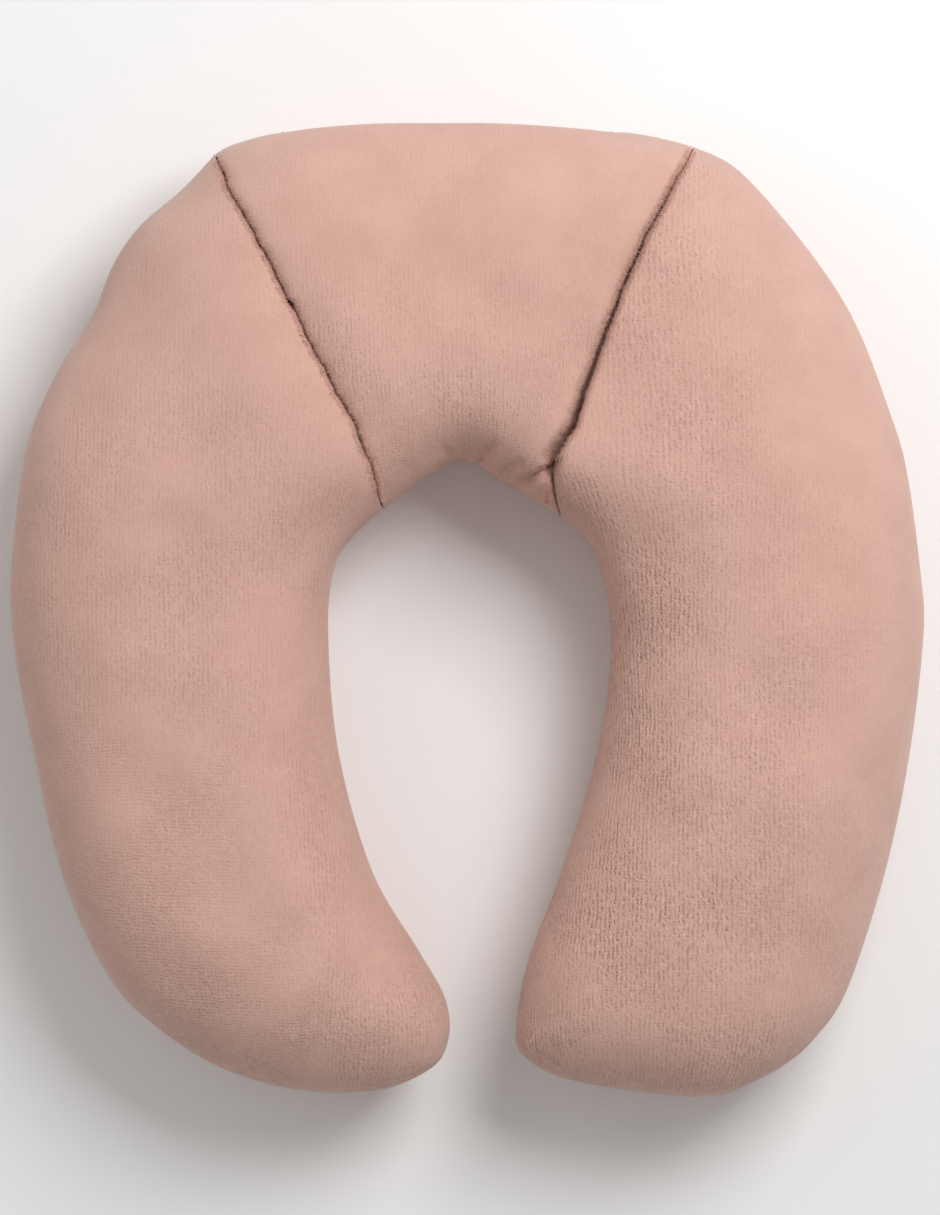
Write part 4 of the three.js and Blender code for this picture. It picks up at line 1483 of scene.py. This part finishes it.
def make_fringe(name, chamber, seam, inside, lean):
    """Fibres on one chamber's side of a fold; lean is how much they lie over it."""
    surface = surface_of(covers[chamber, "top"])
    start, ahead, away = seam_frame(seam, inside)
    length = np.linalg.norm(np.array(seam[1]) - np.array(seam[0]))
    draw = np.random.default_rng(len(name))
    along = np.repeat(np.arange(4, length - 4, fringe_step), fringe_rows)
    along = along + draw.uniform(-0.3, 0.3, len(along))
    off = fringe_reach * draw.uniform(0.0, 1.0, len(along)) ** 1.5 - 0.4
    sewn = start + along[:, None] * ahead
    fold = worked(np.column_stack([sewn, np.full(len(sewn), mid_height * 1.8)]), cover_dip)[:, :2]
    roots, leans = [], []
    for place, reach in zip(fold, off):
        found = met_from(surface, (*(place + away * reach), 400), (0, 0, -1))
        if found is not None and found[0][2] > mid_height * 1.3:
            roots.append(found[0] - found[1] * 0.2)
            leans.append(found[1] * 0.8 + np.array([*(-away * lean), 0.2]))
    sizes = {"Length": fibre_length * MM, "Root": fibre_root * MM, "Astray": fibre_astray}
    return grown(name, fringe, roots, sizes, pile_fibre, leans)


for side, arm, seam in (("left", "left_arm", left_seam), ("right", "right_arm", right_seam)):
    outward_way, lean = (-500, 0.7) if side == "left" else (500, 0.25)
    for lip, chamber, inside in (("arm", arm, (outward_way, 0)), ("centre", "centre", (0, 170))):
        name = f"{side}_fold_pile_{lip}"
        fringes[name] = make_fringe(name, chamber, seam, inside, lean)
for piece in fringes.values():
    print(f"{piece.name}: {triangles(piece)} triangles")

# %% [markdown]
# ## The care label
#
# A folded satin label is caught in the seam beside the zip and hangs over the underside. It is left
# blank. A strip that thin lies on the cloth below it, so its line is found by looking straight
# at the cloth from outside, and its free end stands off a little.

# %% A satin label that follows the cloth
label_low, label_high = node_box("care_label")
label_width = 24.0
label_drop = 33.0
label_thickness = 0.45
label_stand_off = 0.75
label_curl = 2.2  # how much further off the cloth its free end is


def make_label():
    """A strip from the seam downward, lying just off the cloth."""
    surface = surface_of(covers["centre", "base"])
    middle_x = (label_low[0] + label_high[0]) / 2
    near = int(np.argmin(np.abs(back_line[:, 0] - middle_x)))
    along = back_line[near + 1] - back_line[near - 1]
    along /= np.linalg.norm(along)
    out = np.array([-along[1], along[0]])
    middle = back_line[near]
    rows, columns = 22, 9
    front = []
    for row in range(rows + 1):
        fall = row / rows
        z = mid_height - 0.6 - fall * label_drop
        for column in range(columns + 1):
            side = (column / columns - 0.5) * label_width
            plan = middle + along * side
            found = met_from(surface, (*(plan + out * 60), z), (*-out, 0))
            depth = (found[0][:2] - plan) @ out if found else 0.0
            lift = label_stand_off + label_curl * smooth((fall - 0.35) / 0.65)
            lift = lift + 0.3 * math.sin(side * 0.35 + 1) * fall
            front.append((*(plan + out * (depth + lift)), z))
    front = np.array(front).reshape(rows + 1, columns + 1, 3)
    for row in range(1, rows):
        front[row] = (front[row - 1] + 2 * front[row] + front[row + 1]) / 4
    front = front.reshape(-1, 3)
    back = front - np.array([*out, 0]) * label_thickness
    count = len(front)
    faces = []
    for row in range(rows):
        for column in range(columns):
            a = row * (columns + 1) + column
            faces.append([a, a + 1, a + columns + 2, a + columns + 1])
    shell = faces + [[c + count for c in reversed(f)] for f in faces]
    shell += [[b, a, a + count, b + count] for a, b in rim_edges(faces)]
    piece = outward(mesh_object("care_label_satin", np.vstack([front, back]), shell))
    width, drop = label_width / columns, label_drop / rows
    laid = [(c * width, r * drop) for r in range(rows + 1) for c in range(columns + 1)]
    return mapped(piece, "weave", np.vstack([laid, laid]))


label = make_label()
print(f"care label: {triangles(label)} triangles")

# %% [markdown]
# ## Finishes and bodies
#
# Each visible piece has its finish, and the CAD part it stands in for, where there is one, is hidden.
# The wedge's pieces and the zip's are carried by their bodies. An arm's pieces are carried by no
# body: their place is baked into their meshes, and they don't bend across the fold.


def carried(piece, chamber):
    """Puts a wedge piece on the centre body; an arm's piece only gets its place baked into its mesh."""
    if chamber == "centre":
        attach(piece, "centre")
        return
    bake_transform(piece)


for (chamber, side), piece in covers.items():
    piece.data.materials.append(plush)
    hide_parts(f"{chamber}_{side}_panel")
    carried(piece, chamber)
for (chamber, side), piece in liners.items():
    piece.data.materials.append(lining_cotton)
    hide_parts(f"{chamber}_liner_{side}")
    carried(piece, chamber)
for chamber, piece in fills.items():
    piece.data.materials.append(stuffing_fibre)
    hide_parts(f"{chamber}_fill")
    carried(piece, chamber)

# %% Zip, tapes and label
for node, piece in ribbons.items():
    piece.data.materials.append(tape_weave)
    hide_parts(node)
    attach(piece, "centre")
for side, piece in coils.items():
    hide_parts(f"zip_coil_{side}")
    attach(piece, "centre")
for node, piece in stops.items():
    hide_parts(node)
    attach(piece, "centre")
for name, piece in fringes.items():
    carried(piece, "centre" if name.endswith("centre") else name[: name.index("_")] + "_arm")
for side, piece in lip_stitches.items():
    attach(piece, "centre")
for node, body, piece in (("zip_slider_body", "zip_slider", slider), ("zip_pull_tab", "zip_pull", pull)):
    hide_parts(node)
    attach(piece, body)
label.data.materials.append(label_satin)
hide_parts("care_label")
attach(label, "centre")

# %% [markdown]
# ## Floor, light and camera
#
# A pale floor and soft light keep attention on the cloth. One wide light high on the right and
# toward the back shapes the chambers, a weaker one on the left opens the shadows, and the pale
# surroundings fill the rest. The camera hangs far above with a long lens, so that upright sides
# hardly show.

# %% Studio
scene = bpy.context.scene
camera_distance = 4.0
view_height = 0.7444  # metres of the middle plane from top to bottom of the picture


def make_floor():
    """A wide pale floor with the faintest unevenness, so that it isn't a dead flat colour."""
    made, tree, shader = finish_named("pale_floor", 0.9)
    place = add_node(tree, "ShaderNodeTexCoord").outputs["Object"]
    uneven = noise(tree, place, 3.0)
    pale = blended(tree, uneven, (0.90, 0.90, 0.90, 1), (0.93, 0.93, 0.93, 1))
    tree.links.new(pale, shader.inputs["Base Color"])
    far = 30000.0
    corners = [(-far, -far, 0), (far, -far, 0), (far, far, 0), (-far, far, 0)]
    floor = mesh_object("floor", corners, [[0, 1, 2, 3]])
    floor.data.materials.append(made)
    floor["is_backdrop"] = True
    return floor


def add_light(name, place, size, power):
    """A square soft light aimed at the pillow."""
    lamp = bpy.data.lights.new(name, "AREA")
    lamp.size = size
    lamp.energy = power
    made = bpy.data.objects.new(name, lamp)
    scene.collection.objects.link(made)
    made.location = place
    made.rotation_mode = "QUATERNION"
    made.rotation_quaternion = (Vector((0, 0, 0.05)) - Vector(place)).to_track_quat("-Z", "Y")
    return made


make_floor()
add_light("key", (0.85, 1.0, 1.8), 1.1, 34)
add_light("fill", (-1.6, 0.7, 1.4), 1.6, 5)

room = bpy.data.worlds.new("pale_room")
scene.world = room
room.use_nodes = True
room.node_tree.nodes["Background"].inputs["Color"].default_value = (1.0, 0.995, 0.985, 1)
room.node_tree.nodes["Background"].inputs["Strength"].default_value = 0.39
scene.view_settings.view_transform = "Standard"

camera = bpy.data.objects.new("camera", bpy.data.cameras.new("camera"))
scene.collection.objects.link(camera)
camera.location = (0.0021, 0.0012, mid_height * MM + camera_distance)
camera.data.sensor_width = 36
camera.data.lens = camera.data.sensor_width * camera_distance / view_height
scene.camera = camera

# %% [markdown]
#
# The cloth may stand a little proud of the CAD box, and no more. Both boxes are worked out, and the box
# round the visible pieces is printed.

# %% Sizes and finish
low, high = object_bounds()
sizes = {"cad": [list(cad_low), list(cad_high)], "visual": [list(low), list(high)]}
print("visual box:", [round(value, 4) for value in (*low, *high)])
